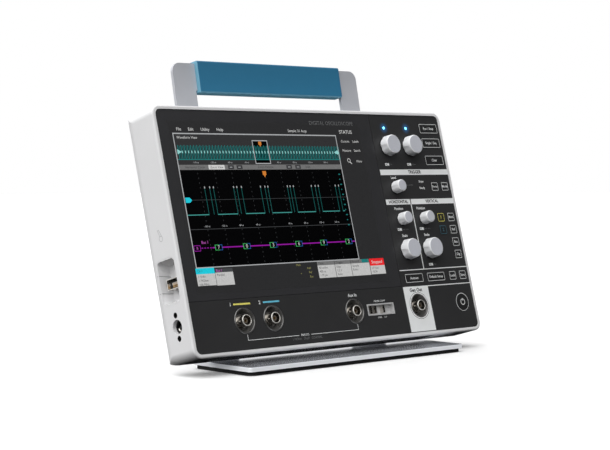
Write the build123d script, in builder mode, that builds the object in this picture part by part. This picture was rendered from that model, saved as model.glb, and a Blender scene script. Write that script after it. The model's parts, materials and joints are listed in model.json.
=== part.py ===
"""Bench oscilloscope: a thin tablet-like instrument held on a tilting foot with a carry handle.

Millimetres, +Z up. The origin is on the table, at the centre of the foot's main rectangle.
The instrument faces -Y and leans back. Its panel parts are placed on FACE, a plane on the
panel's front surface whose local axes are X right, Y up the panel and Z out towards the user.
"""
from build123d import *
import math
import os

# ---- driving dimensions ----------------------------------------------------------------
CASE_W, CASE_H, CASE_D = 344.0, 210.0, 40.4     # the instrument's case
CASE_CORNER_R = 8.0
REAR_EDGE_R = 13.0
RIM_W, RIM_PROUD = 3.25, 0.6                    # white rim round the black panel
PANEL_T = 3.0
PANEL_CORNER_R = 5.0
FIT_GAP = 0.2                                   # clearance round fitted panels
LEAN = 15.5                                     # degrees, instrument at its upright stop
ARM_LEAN = 11.5                                 # degrees, handle frame
FACE_Y, FACE_Z = 7.5, 117.0                     # centre of the panel's front surface

FOOT_W, FOOT_D, FOOT_CORNER_R = 256.6, 74.0, 3.0
FOOT_TAIL_W, FOOT_TAIL_Y = 214.0, 60.0          # narrower tail that carries the hinges
FOOT_TAIL_CORNER_R = 5.0
MAT_T, FOOT_T = 3.3, 3.7
MAT_INSET, MAT_CORNER_R = 1.5, 6.0

GLASS_LEFT, GLASS_RIGHT = -168.55, 77.0         # touch glass, on FACE
GLASS_BOTTOM, GLASS_TOP = -58.9, 101.55
GLASS_T = 1.5
LCD_CENTRE = (-48.0, 19.5)
LCD_W, LCD_H, LCD_T = 219.0, 145.0, 5.5

BIG_KNOB_R, BIG_KNOB_TOP = 9.35, 9.2            # base radius, height of the front face
SMALL_KNOB_R, SMALL_KNOB_TOP = 5.75, 9.8
KNOB_GAP = 0.8                                  # between knob and panel
KNOB_TAPER = 0.93
KNOB_FLATS = 6
STEM_R = 3.0
RUNNING_FIT = 0.05

KNOB_COLUMNS = (94.0, 123.2)
JACK_ROW_Y = -77.5
JACK_COLUMNS = (-113.1, -81.4, 13.4, 95.1)
KEY_COLUMNS = (146.6, 160.4)
KEY_PITCH = 11.85
SMALL_KEY = (9.0, 8.2)
WIDE_KEY = (24.4, 9.2)
ROW_KEY = (23.4, 8.2)
KEY_PROUD, KEY_GAP = 0.5, 0.25
KEY_CORNER_R = 1.1
POWER_KEY_R = 7.6
POWER_KEY_AT = (153.2, JACK_ROW_Y)

ARM_OUTER_X, ARM_W, ARM_T = 110.3, 23.3, 3.0
ARM_FOOT_X = 90.0                               # arms end closer together, on the hinges
ARM_TOP = 51.0                                  # above the case's top edge, along the arm
ARM_CORNER_R = 8.0
GRIP_L, GRIP_H, GRIP_PROUD, GRIP_BACK = 171.0, 28.5, 4.0, 4.5
PIVOT_Z = 15.0
PIVOT_BEHIND_ARM = 9.5                          # from the arm's front surface
PIN_R, KNUCKLE_R = 2.5, 6.0
KNUCKLE_W, CHEEK_W = 14.0, 7.7

VESA = 100.0

# ---- planes ----------------------------------------------------------------------------
lean = math.radians(LEAN)
OUT = Vector(0, -math.cos(lean), math.sin(lean))     # out of the panel
UP = Vector(0, math.sin(lean), math.cos(lean))       # up the panel
FACE = Plane(origin=(0, FACE_Y, FACE_Z), x_dir=(1, 0, 0), z_dir=OUT)

arm_lean = math.radians(ARM_LEAN)
ARM_OUT = Vector(0, -math.cos(arm_lean), math.sin(arm_lean))
ARM_UP = Vector(0, math.sin(arm_lean), math.cos(arm_lean))
ARM_CLEAR_OF_CASE = 1.0
ARM = Plane(
    origin=FACE.from_local_coords((0, CASE_H / 2, -CASE_D - ARM_CLEAR_OF_CASE)),
    x_dir=(1, 0, 0),
    z_dir=ARM_OUT,
)


def face(height=0.0):
    """Plane parallel to the panel, at a height above its front surface."""
    return FACE.offset(height)


def profile_plane(x, y):
    """Plane through a panel point, local X across the panel and local Y out of it."""
    return Plane(origin=FACE.from_local_coords((x, y, 0)), x_dir=(1, 0, 0), z_dir=-UP)


def panel_axis(x, y):
    """Axis out of the panel at a panel point."""
    return Axis(FACE.from_local_coords((x, y, 0)), OUT)


def rear(depth):
    """Plane parallel to the panel, at a depth behind its front surface, facing backwards."""
    centre = FACE.from_local_coords((0, 0, -depth))
    return Plane(origin=centre, x_dir=(-1, 0, 0), z_dir=-OUT)


def side_plane(x):
    """Plane across the case at x: local X into the depth of the case, local Y up the panel."""
    return Plane(origin=(x, FACE_Y, FACE_Z), x_dir=-OUT, z_dir=(1, 0, 0))


arm_pivot_s = (PIVOT_Z - ARM.origin.Z + PIVOT_BEHIND_ARM * math.sin(arm_lean)) / math.cos(arm_lean)
PIVOT = ARM.from_local_coords((0, arm_pivot_s, -PIVOT_BEHIND_ARM))

parts = []


def keep(builder, label):
    """Label a finished sub-part and put it on the list to be written."""
    builder.part.label = label
    parts.append(builder.part)


# ---- housing: white tub with the rim, the rounded rear edges and the side openings --------
CAVITY_W, CAVITY_H = CASE_W - 15.0, CASE_H - 15.0
FRONT_CAVITY_W, FRONT_CAVITY_H, FRONT_CAVITY_BACK = CASE_W - 10.0, CASE_H - 10.0, -11.0
REAR_WALL_T = 2.8
REAR_OPENING_W, REAR_OPENING_H, REAR_OPENING_R = 312.6, 178.6, 8.0
RECESS_W, RECESS_H, RECESS_R = 24.6, 37.4, 4.5
RECESS_AT = (15.95, -38.4)                      # depth behind the panel, height on the panel
TUB_DEPTH, TUB_FLOOR_T = 12.0, 1.5              # of the connector tub that lines the recess
DC_JACK_AT = (14.6, -75.9)
DC_JACK_R = 5.75
LATCH_HOLE_R, LATCH_HOLE_SPACING, LATCH_HOLE_DEPTH = 2.45, 19.0, 6.0
SIDE_X = -CASE_W / 2

with BuildPart() as housing:
    with BuildSketch(face(RIM_PROUD)):
        RectangleRounded(CASE_W, CASE_H, CASE_CORNER_R)
    extrude(amount=-(CASE_D + RIM_PROUD))
    with BuildSketch(side_plane(0)) as side_profile:
        with Locations((CASE_D / 2 - 1, 0)):
            Rectangle(CASE_D + 2, CASE_H)
        fillet(side_profile.vertices().group_by(Axis.X)[-1], REAR_EDGE_R)
    extrude(amount=CASE_W, both=True, mode=Mode.INTERSECT)
    with BuildSketch(profile_plane(0, 0)) as top_profile:
        with Locations((0, 1 - CASE_D / 2)):
            Rectangle(CASE_W, CASE_D + 2)
        fillet(top_profile.vertices().group_by(Axis.Y)[0], REAR_EDGE_R)
    extrude(amount=CASE_H, both=True, mode=Mode.INTERSECT)
    fillet(housing.faces().sort_by(Axis(FACE.origin, OUT))[-1].edges(), 1.6)
    with BuildSketch(face(RIM_PROUD)):
        RectangleRounded(CASE_W - 2 * RIM_W, CASE_H - 2 * RIM_W, PANEL_CORNER_R)
    extrude(amount=-(PANEL_T + RIM_PROUD), mode=Mode.SUBTRACT)
    with BuildSketch(face(-PANEL_T)):
        RectangleRounded(CAVITY_W, CAVITY_H, 4)
    extrude(amount=-(CASE_D - PANEL_T - REAR_WALL_T), mode=Mode.SUBTRACT)
    with BuildSketch(face(-PANEL_T)):
        RectangleRounded(FRONT_CAVITY_W, FRONT_CAVITY_H, 4)
    extrude(amount=FRONT_CAVITY_BACK + PANEL_T, mode=Mode.SUBTRACT)
    with BuildSketch(face(-CASE_D)):
        RectangleRounded(REAR_OPENING_W, REAR_OPENING_H, REAR_OPENING_R)
    extrude(amount=REAR_WALL_T, mode=Mode.SUBTRACT)
    with BuildSketch(side_plane(SIDE_X)):
        with Locations(RECESS_AT):
            RectangleRounded(RECESS_W, RECESS_H, RECESS_R)
        with Locations(DC_JACK_AT):
            Circle(DC_JACK_R + 0.15)
    extrude(amount=TUB_DEPTH, mode=Mode.SUBTRACT)
    with BuildSketch(side_plane(SIDE_X)):
        with Locations(DC_JACK_AT):
            with GridLocations(0, LATCH_HOLE_SPACING, 1, 2):
                Circle(LATCH_HOLE_R)
    extrude(amount=LATCH_HOLE_DEPTH, mode=Mode.SUBTRACT)
keep(housing, "housing")

# ---- rear cover: plate with vent slots, mounting bosses and a flange inside the housing ----
COVER_FLANGE_T = 1.5
BOSS_R = 6.5
INSERT_HOLE_R = 2.0
COVER_SCREWS = [(x, y) for x in (-148, 0, 148) for y in (-81, 81)]
COVER_SCREW_SINK, COVER_SCREW_SEAT = 0.3, 1.8   # depths of the heads' tops and undersides
COVER_SCREW_HEAD_R, COVER_SCREW_R, COVER_SCREW_L = 2.8, 1.45, 6.0
VENT_L, VENT_W, VENT_PITCH, VENT_ROWS, VENT_X = 46.0, 3.0, 9.0, 15, 118.0
TOP_VENT_L, TOP_VENT_PITCH, TOP_VENTS, TOP_VENT_Y = 12.0, 13.0, 9, 76.0
BOSS_H = 9.0
with BuildPart() as rear_cover:
    with BuildSketch(rear(CASE_D)):
        RectangleRounded(REAR_OPENING_W - 2 * FIT_GAP, REAR_OPENING_H - 2 * FIT_GAP, REAR_OPENING_R)
    extrude(amount=-REAR_WALL_T)
    with BuildSketch(rear(CASE_D - REAR_WALL_T)):
        RectangleRounded(CAVITY_W - 1, CAVITY_H - 1, 4)
    extrude(amount=-COVER_FLANGE_T)
    with BuildSketch(rear(CASE_D - REAR_WALL_T)):
        with GridLocations(VESA, VESA, 2, 2):
            Circle(BOSS_R)
    extrude(amount=-BOSS_H)
    with BuildSketch(rear(CASE_D)):
        with GridLocations(VESA, VESA, 2, 2):
            Circle(INSERT_HOLE_R)
    extrude(amount=-BOSS_H, mode=Mode.SUBTRACT)
    with BuildSketch(rear(CASE_D)):
        for side in (-1, 1):
            with Locations((side * VENT_X, 0)):
                with GridLocations(0, VENT_PITCH, 1, VENT_ROWS):
                    SlotOverall(VENT_L, VENT_W)
        with Locations((0, TOP_VENT_Y)):
            with GridLocations(TOP_VENT_PITCH, 0, TOP_VENTS, 1):
                SlotOverall(TOP_VENT_L, VENT_W, rotation=90)
    extrude(amount=-(REAR_WALL_T + COVER_FLANGE_T), mode=Mode.SUBTRACT)
    with BuildSketch(rear(CASE_D)):
        with Locations(*COVER_SCREWS):
            Circle(COVER_SCREW_HEAD_R + 0.4)
    extrude(amount=-COVER_SCREW_SEAT, mode=Mode.SUBTRACT)
    with BuildSketch(rear(CASE_D)):
        with Locations(*COVER_SCREWS):
            Circle(COVER_SCREW_R + 0.05)
    extrude(amount=-(REAR_WALL_T + COVER_FLANGE_T), mode=Mode.SUBTRACT)
keep(rear_cover, "rear_cover")

with BuildPart() as rear_cover_screws:
    with BuildSketch(rear(CASE_D - COVER_SCREW_SINK)):
        with Locations(*COVER_SCREWS):
            Circle(COVER_SCREW_HEAD_R)
    extrude(amount=COVER_SCREW_SINK - COVER_SCREW_SEAT)
    with BuildSketch(rear(CASE_D - COVER_SCREW_SEAT)):
        with Locations(*COVER_SCREWS):
            Circle(COVER_SCREW_R)
    extrude(amount=-COVER_SCREW_L)
    with BuildSketch(rear(CASE_D - COVER_SCREW_SINK)):
        with Locations(*COVER_SCREWS):
            RegularPolygon(1.2, 6)
    extrude(amount=-0.9, mode=Mode.SUBTRACT)
keep(rear_cover_screws, "rear_cover_screws")

# ---- controls: what sits where on the panel -------------------------------------------------
KNOBS = {   # name: (x, y, base radius, front height, turn of the flats)
    "a": (KNOB_COLUMNS[0], 71.6, BIG_KNOB_R, BIG_KNOB_TOP, 12),
    "b": (KNOB_COLUMNS[1], 71.6, BIG_KNOB_R, BIG_KNOB_TOP, 20),
    "trigger_level": (93.7, 32.5, SMALL_KNOB_R, SMALL_KNOB_TOP, 5),
    "horizontal_position": (93.7, 2.8, SMALL_KNOB_R, SMALL_KNOB_TOP, 25),
    "vertical_position": (KNOB_COLUMNS[1], 2.8, SMALL_KNOB_R, SMALL_KNOB_TOP, 10),
    "horizontal_scale": (KNOB_COLUMNS[0], -25.8, BIG_KNOB_R, BIG_KNOB_TOP, 16),
    "vertical_scale": (KNOB_COLUMNS[1], -25.8, BIG_KNOB_R, BIG_KNOB_TOP, 8),
}
TOP_CHANNEL_ROW = 3.2
KEYS = {    # name: (x, y, (width, height))
    "run_stop_button": (153.3, 89.0, WIDE_KEY),
    "single_button": (153.3, 75.0, WIDE_KEY),
    "clear_button": (153.3, 58.2, WIDE_KEY),
    "trigger_force_button": (KEY_COLUMNS[0], 32.8, SMALL_KEY),
    "trigger_mode_button": (KEY_COLUMNS[1], 32.8, SMALL_KEY),
    "channel_1_button": (KEY_COLUMNS[0], TOP_CHANNEL_ROW, SMALL_KEY),
    "channel_2_button": (KEY_COLUMNS[0], TOP_CHANNEL_ROW - KEY_PITCH, SMALL_KEY),
    "math_button": (KEY_COLUMNS[1], TOP_CHANNEL_ROW, SMALL_KEY),
    "reference_button": (KEY_COLUMNS[1], TOP_CHANNEL_ROW - KEY_PITCH, SMALL_KEY),
    "bus_button": (KEY_COLUMNS[1], TOP_CHANNEL_ROW - 2 * KEY_PITCH, SMALL_KEY),
    "digital_button": (KEY_COLUMNS[1], TOP_CHANNEL_ROW - 3 * KEY_PITCH, SMALL_KEY),
    "autoset_button": (95.0, -52.2, ROW_KEY),
    "default_setup_button": (124.0, -52.2, ROW_KEY),
    "touch_lock_button": (KEY_COLUMNS[0], -52.2, SMALL_KEY),
    "save_button": (KEY_COLUMNS[1], -52.2, SMALL_KEY),
}
LAMP_Y = 89.1
PROBE_COMP_AT = (45.4, -77.7)
PROBE_COMP_W, PROBE_COMP_H = 33.3, 10.2
CUP_R = 11.0
KNOB_HOLE_R = 4.2

# ---- front panel: black plate with a pocket for the glass and openings for the controls ----
with BuildPart() as front_panel:
    with BuildSketch(face()):
        RectangleRounded(
            CASE_W - 2 * (RIM_W + FIT_GAP), CASE_H - 2 * (RIM_W + FIT_GAP), PANEL_CORNER_R - FIT_GAP
        )
    extrude(amount=-PANEL_T)
    with BuildSketch(face()):
        with Locations(((GLASS_LEFT + GLASS_RIGHT) / 2 - 2, (GLASS_BOTTOM + GLASS_TOP) / 2 + 2)):
            Rectangle(GLASS_RIGHT - GLASS_LEFT + 4.4, GLASS_TOP - GLASS_BOTTOM + 4.4)
    extrude(amount=-(GLASS_T + 0.05), mode=Mode.SUBTRACT)
    with BuildSketch(face()):
        with Locations(LCD_CENTRE):
            Rectangle(LCD_W + 2 * FIT_GAP, LCD_H + 2 * FIT_GAP)
        with Locations(*[(x, JACK_ROW_Y) for x in JACK_COLUMNS]):
            Circle(CUP_R + 0.1)
        with Locations(*[(x, y) for x, y, *_ in KNOBS.values()]):
            Circle(KNOB_HOLE_R)
        with Locations(*[(x, LAMP_Y) for x in KNOB_COLUMNS]):
            Circle(1.3)
        with Locations(PROBE_COMP_AT):
            Rectangle(PROBE_COMP_W + 0.2, PROBE_COMP_H + 0.2)
        with Locations(POWER_KEY_AT):
            Circle(POWER_KEY_R + KEY_GAP)
        for x, y, (width, height) in KEYS.values():
            with Locations((x, y)):
                RectangleRounded(width + 2 * KEY_GAP, height + 2 * KEY_GAP, KEY_CORNER_R + KEY_GAP)
    extrude(amount=-PANEL_T, mode=Mode.SUBTRACT)
keep(front_panel, "front_panel")

with BuildPart() as touch_glass:
    with BuildSketch(face()) as glass_outline:
        with Locations(((GLASS_LEFT + GLASS_RIGHT) / 2, (GLASS_BOTTOM + GLASS_TOP) / 2)):
            Rectangle(GLASS_RIGHT - GLASS_LEFT, GLASS_TOP - GLASS_BOTTOM)
        left_corners = glass_outline.vertices().group_by(Axis.X)[0]
        fillet(left_corners.sort_by(Axis.Y)[-1], PANEL_CORNER_R - FIT_GAP)
    extrude(amount=-GLASS_T)
    chamfer(touch_glass.faces().sort_by(Axis(FACE.origin, OUT))[-1].edges(), 0.2)
keep(touch_glass, "touch_glass")

with BuildPart() as lcd_module:
    with BuildSketch(face(-GLASS_T - 0.2)):
        with Locations(LCD_CENTRE):
            Rectangle(LCD_W, LCD_H)
    extrude(amount=-LCD_T)
keep(lcd_module, "lcd_module")

# ---- chassis plate and boards inside the case ------------------------------------------------
PLATE_DEPTH, PLATE_T = 17.0, 1.2
BOARD_DEPTH, BOARD_T = 23.0, 1.6
UI_BOARD_DEPTH = 8.9
STANDOFFS = [(x, y) for x in (-130, 0, 130) for y in (-60, 72)]
JACK_BODY_R = 7.2

with BuildPart() as chassis_plate:
    with BuildSketch(rear(PLATE_DEPTH)):
        Rectangle(CAVITY_W - 26, CAVITY_H - 26)
    extrude(amount=PLATE_T)
    with BuildSketch(rear(PLATE_DEPTH + PLATE_T)):
        with Locations(*STANDOFFS):
            Circle(3)
    extrude(amount=BOARD_DEPTH - PLATE_DEPTH - PLATE_T)
    with BuildSketch(face(-PLATE_DEPTH)):
        with Locations(*[(x, JACK_ROW_Y) for x in JACK_COLUMNS]):
            Circle(JACK_BODY_R + 1)
    extrude(amount=-PLATE_T, mode=Mode.SUBTRACT)
keep(chassis_plate, "chassis_plate")

with BuildPart() as main_board:
    with BuildSketch(rear(BOARD_DEPTH)):
        Rectangle(CAVITY_W - 34, CAVITY_H - 34)
    extrude(amount=BOARD_T)
    with BuildSketch(rear(BOARD_DEPTH + BOARD_T)):
        with Locations((40, 20)):
            Rectangle(35, 35)
        with Locations((-20, -5), (-20, 35)):
            Rectangle(23, 23)
        with Locations((75, -45), (100, -45), (125, -45)):
            Rectangle(12, 18)
    extrude(amount=2.4)
keep(main_board, "main_board")

with BuildPart() as ui_board:
    with BuildSketch(rear(UI_BOARD_DEPTH)):
        with Locations((-123, 18)):
            Rectangle(86, 160)
        with Locations((-150, -75)):
            Rectangle(30, 30)
    extrude(amount=BOARD_T)
keep(ui_board, "ui_board")

# ---- rotary encoders: bodies on the board, a turning rotor in each, and the knobs -------------
ENCODER_W, ENCODER_FRONT, ENCODER_FLOOR_T = 11.6, -3.4, 1.2
ROTOR_R, ROTOR_BORE_R = 4.4, STEM_R + RUNNING_FIT
ROTOR_FRONT, ROTOR_BACK = -3.2, -7.4
STEM_BACK = -6.6

with BuildPart() as encoder_bodies:
    for x, y, *_ in KNOBS.values():
        with BuildSketch(face(ENCODER_FRONT)):
            with Locations((x, y)):
                Rectangle(ENCODER_W, ENCODER_W)
        extrude(amount=-(UI_BOARD_DEPTH + ENCODER_FRONT))
        with BuildSketch(face(ENCODER_FRONT)):
            with Locations((x, y)):
                Circle(ROTOR_R + FIT_GAP)
        extrude(amount=-(UI_BOARD_DEPTH + ENCODER_FRONT - ENCODER_FLOOR_T), mode=Mode.SUBTRACT)
keep(encoder_bodies, "encoder_bodies")


def make_rotor(x, y):
    """Hollow rotor of an encoder, with the bore that takes the knob's stem."""
    with BuildPart() as rotor:
        with BuildSketch(face(ROTOR_FRONT)):
            with Locations((x, y)):
                Circle(ROTOR_R)
                Circle(ROTOR_BORE_R, mode=Mode.SUBTRACT)
        extrude(amount=ROTOR_BACK - ROTOR_FRONT)
    return rotor


def make_knob(x, y, base_r, top, turn):
    """Tapered knob with shallow finger flats, a dished back and a stem."""
    flat_r = base_r * 0.92
    cutter_r = base_r * 1.6
    front_r = base_r * KNOB_TAPER
    edge = 0.6
    with BuildPart() as knob:
        with BuildSketch(profile_plane(x, y)):
            with BuildLine():
                Polyline(
                    (0, KNOB_GAP + 1.6), (base_r - 1.6, KNOB_GAP + 1.6), (base_r - 1.6, KNOB_GAP),
                    (base_r - 0.3, KNOB_GAP), (base_r, KNOB_GAP + 0.3), (front_r + 0.08, top - edge),
                    (front_r - edge, top), (0, top), close=True,
                )
            make_face()
        revolve(axis=panel_axis(x, y))
        with BuildSketch(face()):
            with Locations((x, y)):
                with PolarLocations(flat_r + cutter_r, KNOB_FLATS, start_angle=turn):
                    Circle(cutter_r)
        extrude(amount=top + 1, mode=Mode.SUBTRACT)
        with BuildSketch(face(KNOB_GAP + 1.6)):
            with Locations((x, y)):
                Circle(STEM_R)
        extrude(amount=STEM_BACK - KNOB_GAP - 1.6)
    return knob


for name, (x, y, base_r, top, turn) in KNOBS.items():
    keep(make_rotor(x, y), f"encoder_rotor_{name}")
    keep(make_knob(x, y, base_r, top, turn), f"knob_{name}")

# ---- push buttons and the switches behind them -------------------------------------------------
KEY_FLANGE_W, KEY_FLANGE_FRONT, KEY_BACK = 0.8, -3.1, -3.8
SWITCH_W, SWITCH_FRONT, PLUNGER_R, PLUNGER_FRONT = 6.0, -5.4, 1.6, -4.5


def make_key(x, y, width, height):
    """Rectangular keycap with a retaining flange behind the panel."""
    with BuildPart() as key:
        with BuildSketch(face(KEY_PROUD)):
            with Locations((x, y)):
                RectangleRounded(width, height, KEY_CORNER_R)
        extrude(amount=KEY_BACK - KEY_PROUD)
        fillet(key.faces().sort_by(Axis(FACE.origin, OUT))[-1].edges(), 0.25)
        with BuildSketch(face(KEY_FLANGE_FRONT)):
            with Locations((x, y)):
                Rectangle(width + 2 * KEY_FLANGE_W, height + 2 * KEY_FLANGE_W)
        extrude(amount=KEY_BACK - KEY_FLANGE_FRONT)
    return key


for name, (x, y, (width, height)) in KEYS.items():
    keep(make_key(x, y, width, height), name)

with BuildPart() as power_button:
    with BuildSketch(face(KEY_PROUD)):
        with Locations(POWER_KEY_AT):
            Circle(POWER_KEY_R)
    extrude(amount=KEY_BACK - KEY_PROUD)
    fillet(power_button.faces().sort_by(Axis(FACE.origin, OUT))[-1].edges(), 0.25)
    with BuildSketch(face(KEY_FLANGE_FRONT)):
        with Locations(POWER_KEY_AT):
            Circle(POWER_KEY_R + KEY_FLANGE_W)
    extrude(amount=KEY_BACK - KEY_FLANGE_FRONT)
keep(power_button, "power_button")

with BuildPart() as tact_switches:
    for x, y in [(x, y) for x, y, _ in KEYS.values()] + [POWER_KEY_AT]:
        with BuildSketch(face(SWITCH_FRONT)):
            with Locations((x, y)):
                Rectangle(SWITCH_W, SWITCH_W)
        extrude(amount=-(UI_BOARD_DEPTH + SWITCH_FRONT))
        with BuildSketch(face(PLUNGER_FRONT)):
            with Locations((x, y)):
                Circle(PLUNGER_R)
        extrude(amount=SWITCH_FRONT - PLUNGER_FRONT)
keep(tact_switches, "tact_switches")

with BuildPart() as light_guides:
    with BuildSketch(face(0.1)):
        with Locations(*[(x, LAMP_Y) for x in KNOB_COLUMNS]):
            Circle(1.2)
    extrude(amount=-(UI_BOARD_DEPTH + 0.1))
keep(light_guides, "light_guides")

# ---- signal jacks: dished cups, shells with bayonet lugs, insulators and contacts ---------------
SHELL_R, SHELL_BORE_R, SHELL_FRONT, SHELL_BACK = 4.8, 4.1, 2.8, -15.5
SHELL_NECK_R, SHELL_NECK_FRONT = 4.5, -1.1      # the barrel is thinner round the lugs
SHELL_COLLAR_R = 5.2                            # where the barrel passes through the cup's floor
SHELL_FLANGE_R, SHELL_FLANGE_FRONT = 6.2, -4.9
LUG_R, LUG_REACH, LUG_HEIGHT = 1.0, 5.75, -2.2
CUP_FLOOR, CUP_FLOOR_R, CUP_WALL_T = -6.4, 6.9, 1.2


def turned_at_jacks(outline):
    """Turned pieces, one on every jack's axis, from one closed outline of (radius, height) points."""
    with BuildPart() as turned:
        for x in JACK_COLUMNS:
            with BuildSketch(profile_plane(x, JACK_ROW_Y)):
                with BuildLine():
                    Polyline(*outline, close=True)
                make_face()
            revolve(axis=panel_axis(x, JACK_ROW_Y))
    return turned


jack_cups = turned_at_jacks([
    (CUP_R - 0.3, 0.35), (CUP_R, 0.0), (CUP_R, -PANEL_T),
    (CUP_FLOOR_R + CUP_WALL_T, CUP_FLOOR - CUP_WALL_T), (SHELL_COLLAR_R + 0.1, CUP_FLOOR - CUP_WALL_T),
    (SHELL_COLLAR_R + 0.1, CUP_FLOOR), (CUP_FLOOR_R, CUP_FLOOR), (CUP_R - 1.3, 0.0), (CUP_R - 1.0, 0.35),
])
keep(jack_cups, "jack_cups")

shell_barrels = turned_at_jacks([
    (SHELL_BORE_R, SHELL_FRONT), (SHELL_R - 0.25, SHELL_FRONT), (SHELL_R, SHELL_FRONT - 0.25),
    (SHELL_R, SHELL_NECK_FRONT), (SHELL_NECK_R, SHELL_NECK_FRONT), (SHELL_NECK_R, SHELL_FLANGE_FRONT),
    (SHELL_FLANGE_R, SHELL_FLANGE_FRONT), (SHELL_FLANGE_R, CUP_FLOOR + 0.05), (SHELL_COLLAR_R, CUP_FLOOR + 0.05),
    (SHELL_COLLAR_R, CUP_FLOOR - CUP_WALL_T - 0.1), (JACK_BODY_R, CUP_FLOOR - CUP_WALL_T - 0.1),
    (JACK_BODY_R, SHELL_BACK), (SHELL_BORE_R, SHELL_BACK),
])
with BuildPart() as bnc_shells:
    add(shell_barrels.part)
    for x in JACK_COLUMNS:
        lug_centre = FACE.from_local_coords((x, JACK_ROW_Y, LUG_HEIGHT))
        for side in (-1, 1):
            with BuildSketch(Plane(origin=lug_centre, x_dir=UP, z_dir=(side, 0, 0)).offset(SHELL_BORE_R + 0.2)):
                Circle(LUG_R)
            extrude(amount=LUG_REACH - SHELL_BORE_R - 0.2)
keep(bnc_shells, "bnc_shells")

CONTACT_R, SLEEVE_R = 1.1, 2.3
bnc_insulators = turned_at_jacks([
    (CONTACT_R + 0.05, 0.8), (SLEEVE_R, 0.8), (SLEEVE_R, -6.0), (SHELL_BORE_R - 0.05, -6.0),
    (SHELL_BORE_R - 0.05, -15.0), (CONTACT_R + 0.05, -15.0),
])
keep(bnc_insulators, "bnc_insulators")

bnc_contacts = turned_at_jacks([
    (0.5, 0.4), (CONTACT_R, 0.4), (CONTACT_R, -18.0), (0, -18.0), (0, -5.0), (0.5, -5.0),
])
keep(bnc_contacts, "bnc_contacts")

# ---- probe compensation block -------------------------------------------------------------------
TAB_XS = (-12.2, -6.6, 3.8)
with BuildPart() as probe_comp_block:
    with BuildSketch(face(0.3)):
        with Locations(PROBE_COMP_AT):
            Rectangle(PROBE_COMP_W, PROBE_COMP_H)
    extrude(amount=-6.3)
    with BuildSketch(face(0.3)):
        with Locations(PROBE_COMP_AT):
            Rectangle(PROBE_COMP_W - 2.4, PROBE_COMP_H - 2.4)
    extrude(amount=-4.3, mode=Mode.SUBTRACT)
keep(probe_comp_block, "probe_comp_block")

with BuildPart() as probe_comp_tabs:
    for dx in TAB_XS:
        with BuildSketch(face(0.0)):
            with Locations((PROBE_COMP_AT[0] + dx, PROBE_COMP_AT[1])):
                Rectangle(2.4, 6.6)
                Rectangle(1.0, 4.6, mode=Mode.SUBTRACT)
        extrude(amount=-4.0)
keep(probe_comp_tabs, "probe_comp_tabs")

# ---- side connectors: recessed tub, port shells and power jack -------------------------------------
PORT_AT = (15.4, -40.2)                         # depth behind the panel, height on the panel
PORT_W, PORT_H, PORT_WALL_T = 16.0, 8.8, 0.6
PORT_MOUTH, PORT_BACK, PORT_BORE_BACK = 4.0, 19.0, 15.0     # depths from the case's side
TUB_WALL_T, TUB_DRAFT = 1.0, 3.0                # draft of the tub's upper and lower walls
TUB_REAR = RECESS_AT[0] + RECESS_W / 2          # depth of the recess's rear wall behind the panel
with BuildPart() as side_port_block:
    with BuildSketch(side_plane(SIDE_X + 0.1)):
        with Locations(RECESS_AT):
            RectangleRounded(RECESS_W - 0.2, RECESS_H - 0.2, RECESS_R - 0.1)
    extrude(amount=TUB_DEPTH + TUB_FLOOR_T)
    with BuildSketch(side_plane(SIDE_X + 0.1)):
        with Locations(RECESS_AT):
            RectangleRounded(
                RECESS_W - 2 * TUB_WALL_T - 0.2, RECESS_H - 2 * TUB_WALL_T - 0.2, RECESS_R - TUB_WALL_T - 0.1
            )
    extrude(amount=TUB_DEPTH, mode=Mode.SUBTRACT)
    with BuildSketch(face(-TUB_REAR + TUB_WALL_T)):
        for side in (-1, 1):
            wall_y = RECESS_AT[1] + side * (RECESS_H / 2 - TUB_WALL_T - 0.1)
            floor_x = SIDE_X + TUB_DEPTH + 0.2
            with BuildLine():
                Polyline(
                    (SIDE_X + 1.0, wall_y + side * 0.1), (floor_x, wall_y + side * 0.1),
                    (floor_x, wall_y - side * TUB_DRAFT), close=True,
                )
            make_face()
    extrude(amount=RECESS_W - 2 * TUB_WALL_T)
    with BuildSketch(side_plane(SIDE_X + 0.1)):
        with Locations(RECESS_AT):
            RectangleRounded(RECESS_W - 0.2, RECESS_H - 0.2, RECESS_R - 0.1)
    extrude(amount=TUB_DEPTH + TUB_FLOOR_T, mode=Mode.INTERSECT)
    with BuildSketch(side_plane(SIDE_X)):
        with Locations(PORT_AT):
            Rectangle(PORT_W + 0.1, PORT_H + 0.1)
    extrude(amount=PORT_BACK, mode=Mode.SUBTRACT)
keep(side_port_block, "side_port_block")

with BuildPart() as port_shell:
    with BuildSketch(side_plane(SIDE_X + PORT_MOUTH)):
        with Locations(PORT_AT):
            Rectangle(PORT_W, PORT_H)
    extrude(amount=PORT_BACK - PORT_MOUTH)
    with BuildSketch(side_plane(SIDE_X + PORT_MOUTH)):
        with Locations(PORT_AT):
            Rectangle(PORT_W - 2 * PORT_WALL_T, PORT_H - 2 * PORT_WALL_T)
    extrude(amount=PORT_BORE_BACK - PORT_MOUTH, mode=Mode.SUBTRACT)
keep(port_shell, "port_shell")

DC_JACK_MOUTH, DC_JACK_BACK, DC_JACK_WALL_T, DC_PIN_R, DC_BORE_DEPTH = 3.4, 14.0, 1.0, 1.0, 9.0
with BuildPart() as dc_jack:
    with BuildSketch(side_plane(SIDE_X + DC_JACK_MOUTH)):
        with Locations(DC_JACK_AT):
            Circle(DC_JACK_R)
    extrude(amount=DC_JACK_BACK - DC_JACK_MOUTH)
    with BuildSketch(side_plane(SIDE_X + DC_JACK_MOUTH)):
        with Locations(DC_JACK_AT):
            Circle(DC_JACK_R - DC_JACK_WALL_T)
            Circle(DC_PIN_R, mode=Mode.SUBTRACT)
    extrude(amount=DC_BORE_DEPTH, mode=Mode.SUBTRACT)
keep(dc_jack, "dc_jack")

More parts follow.
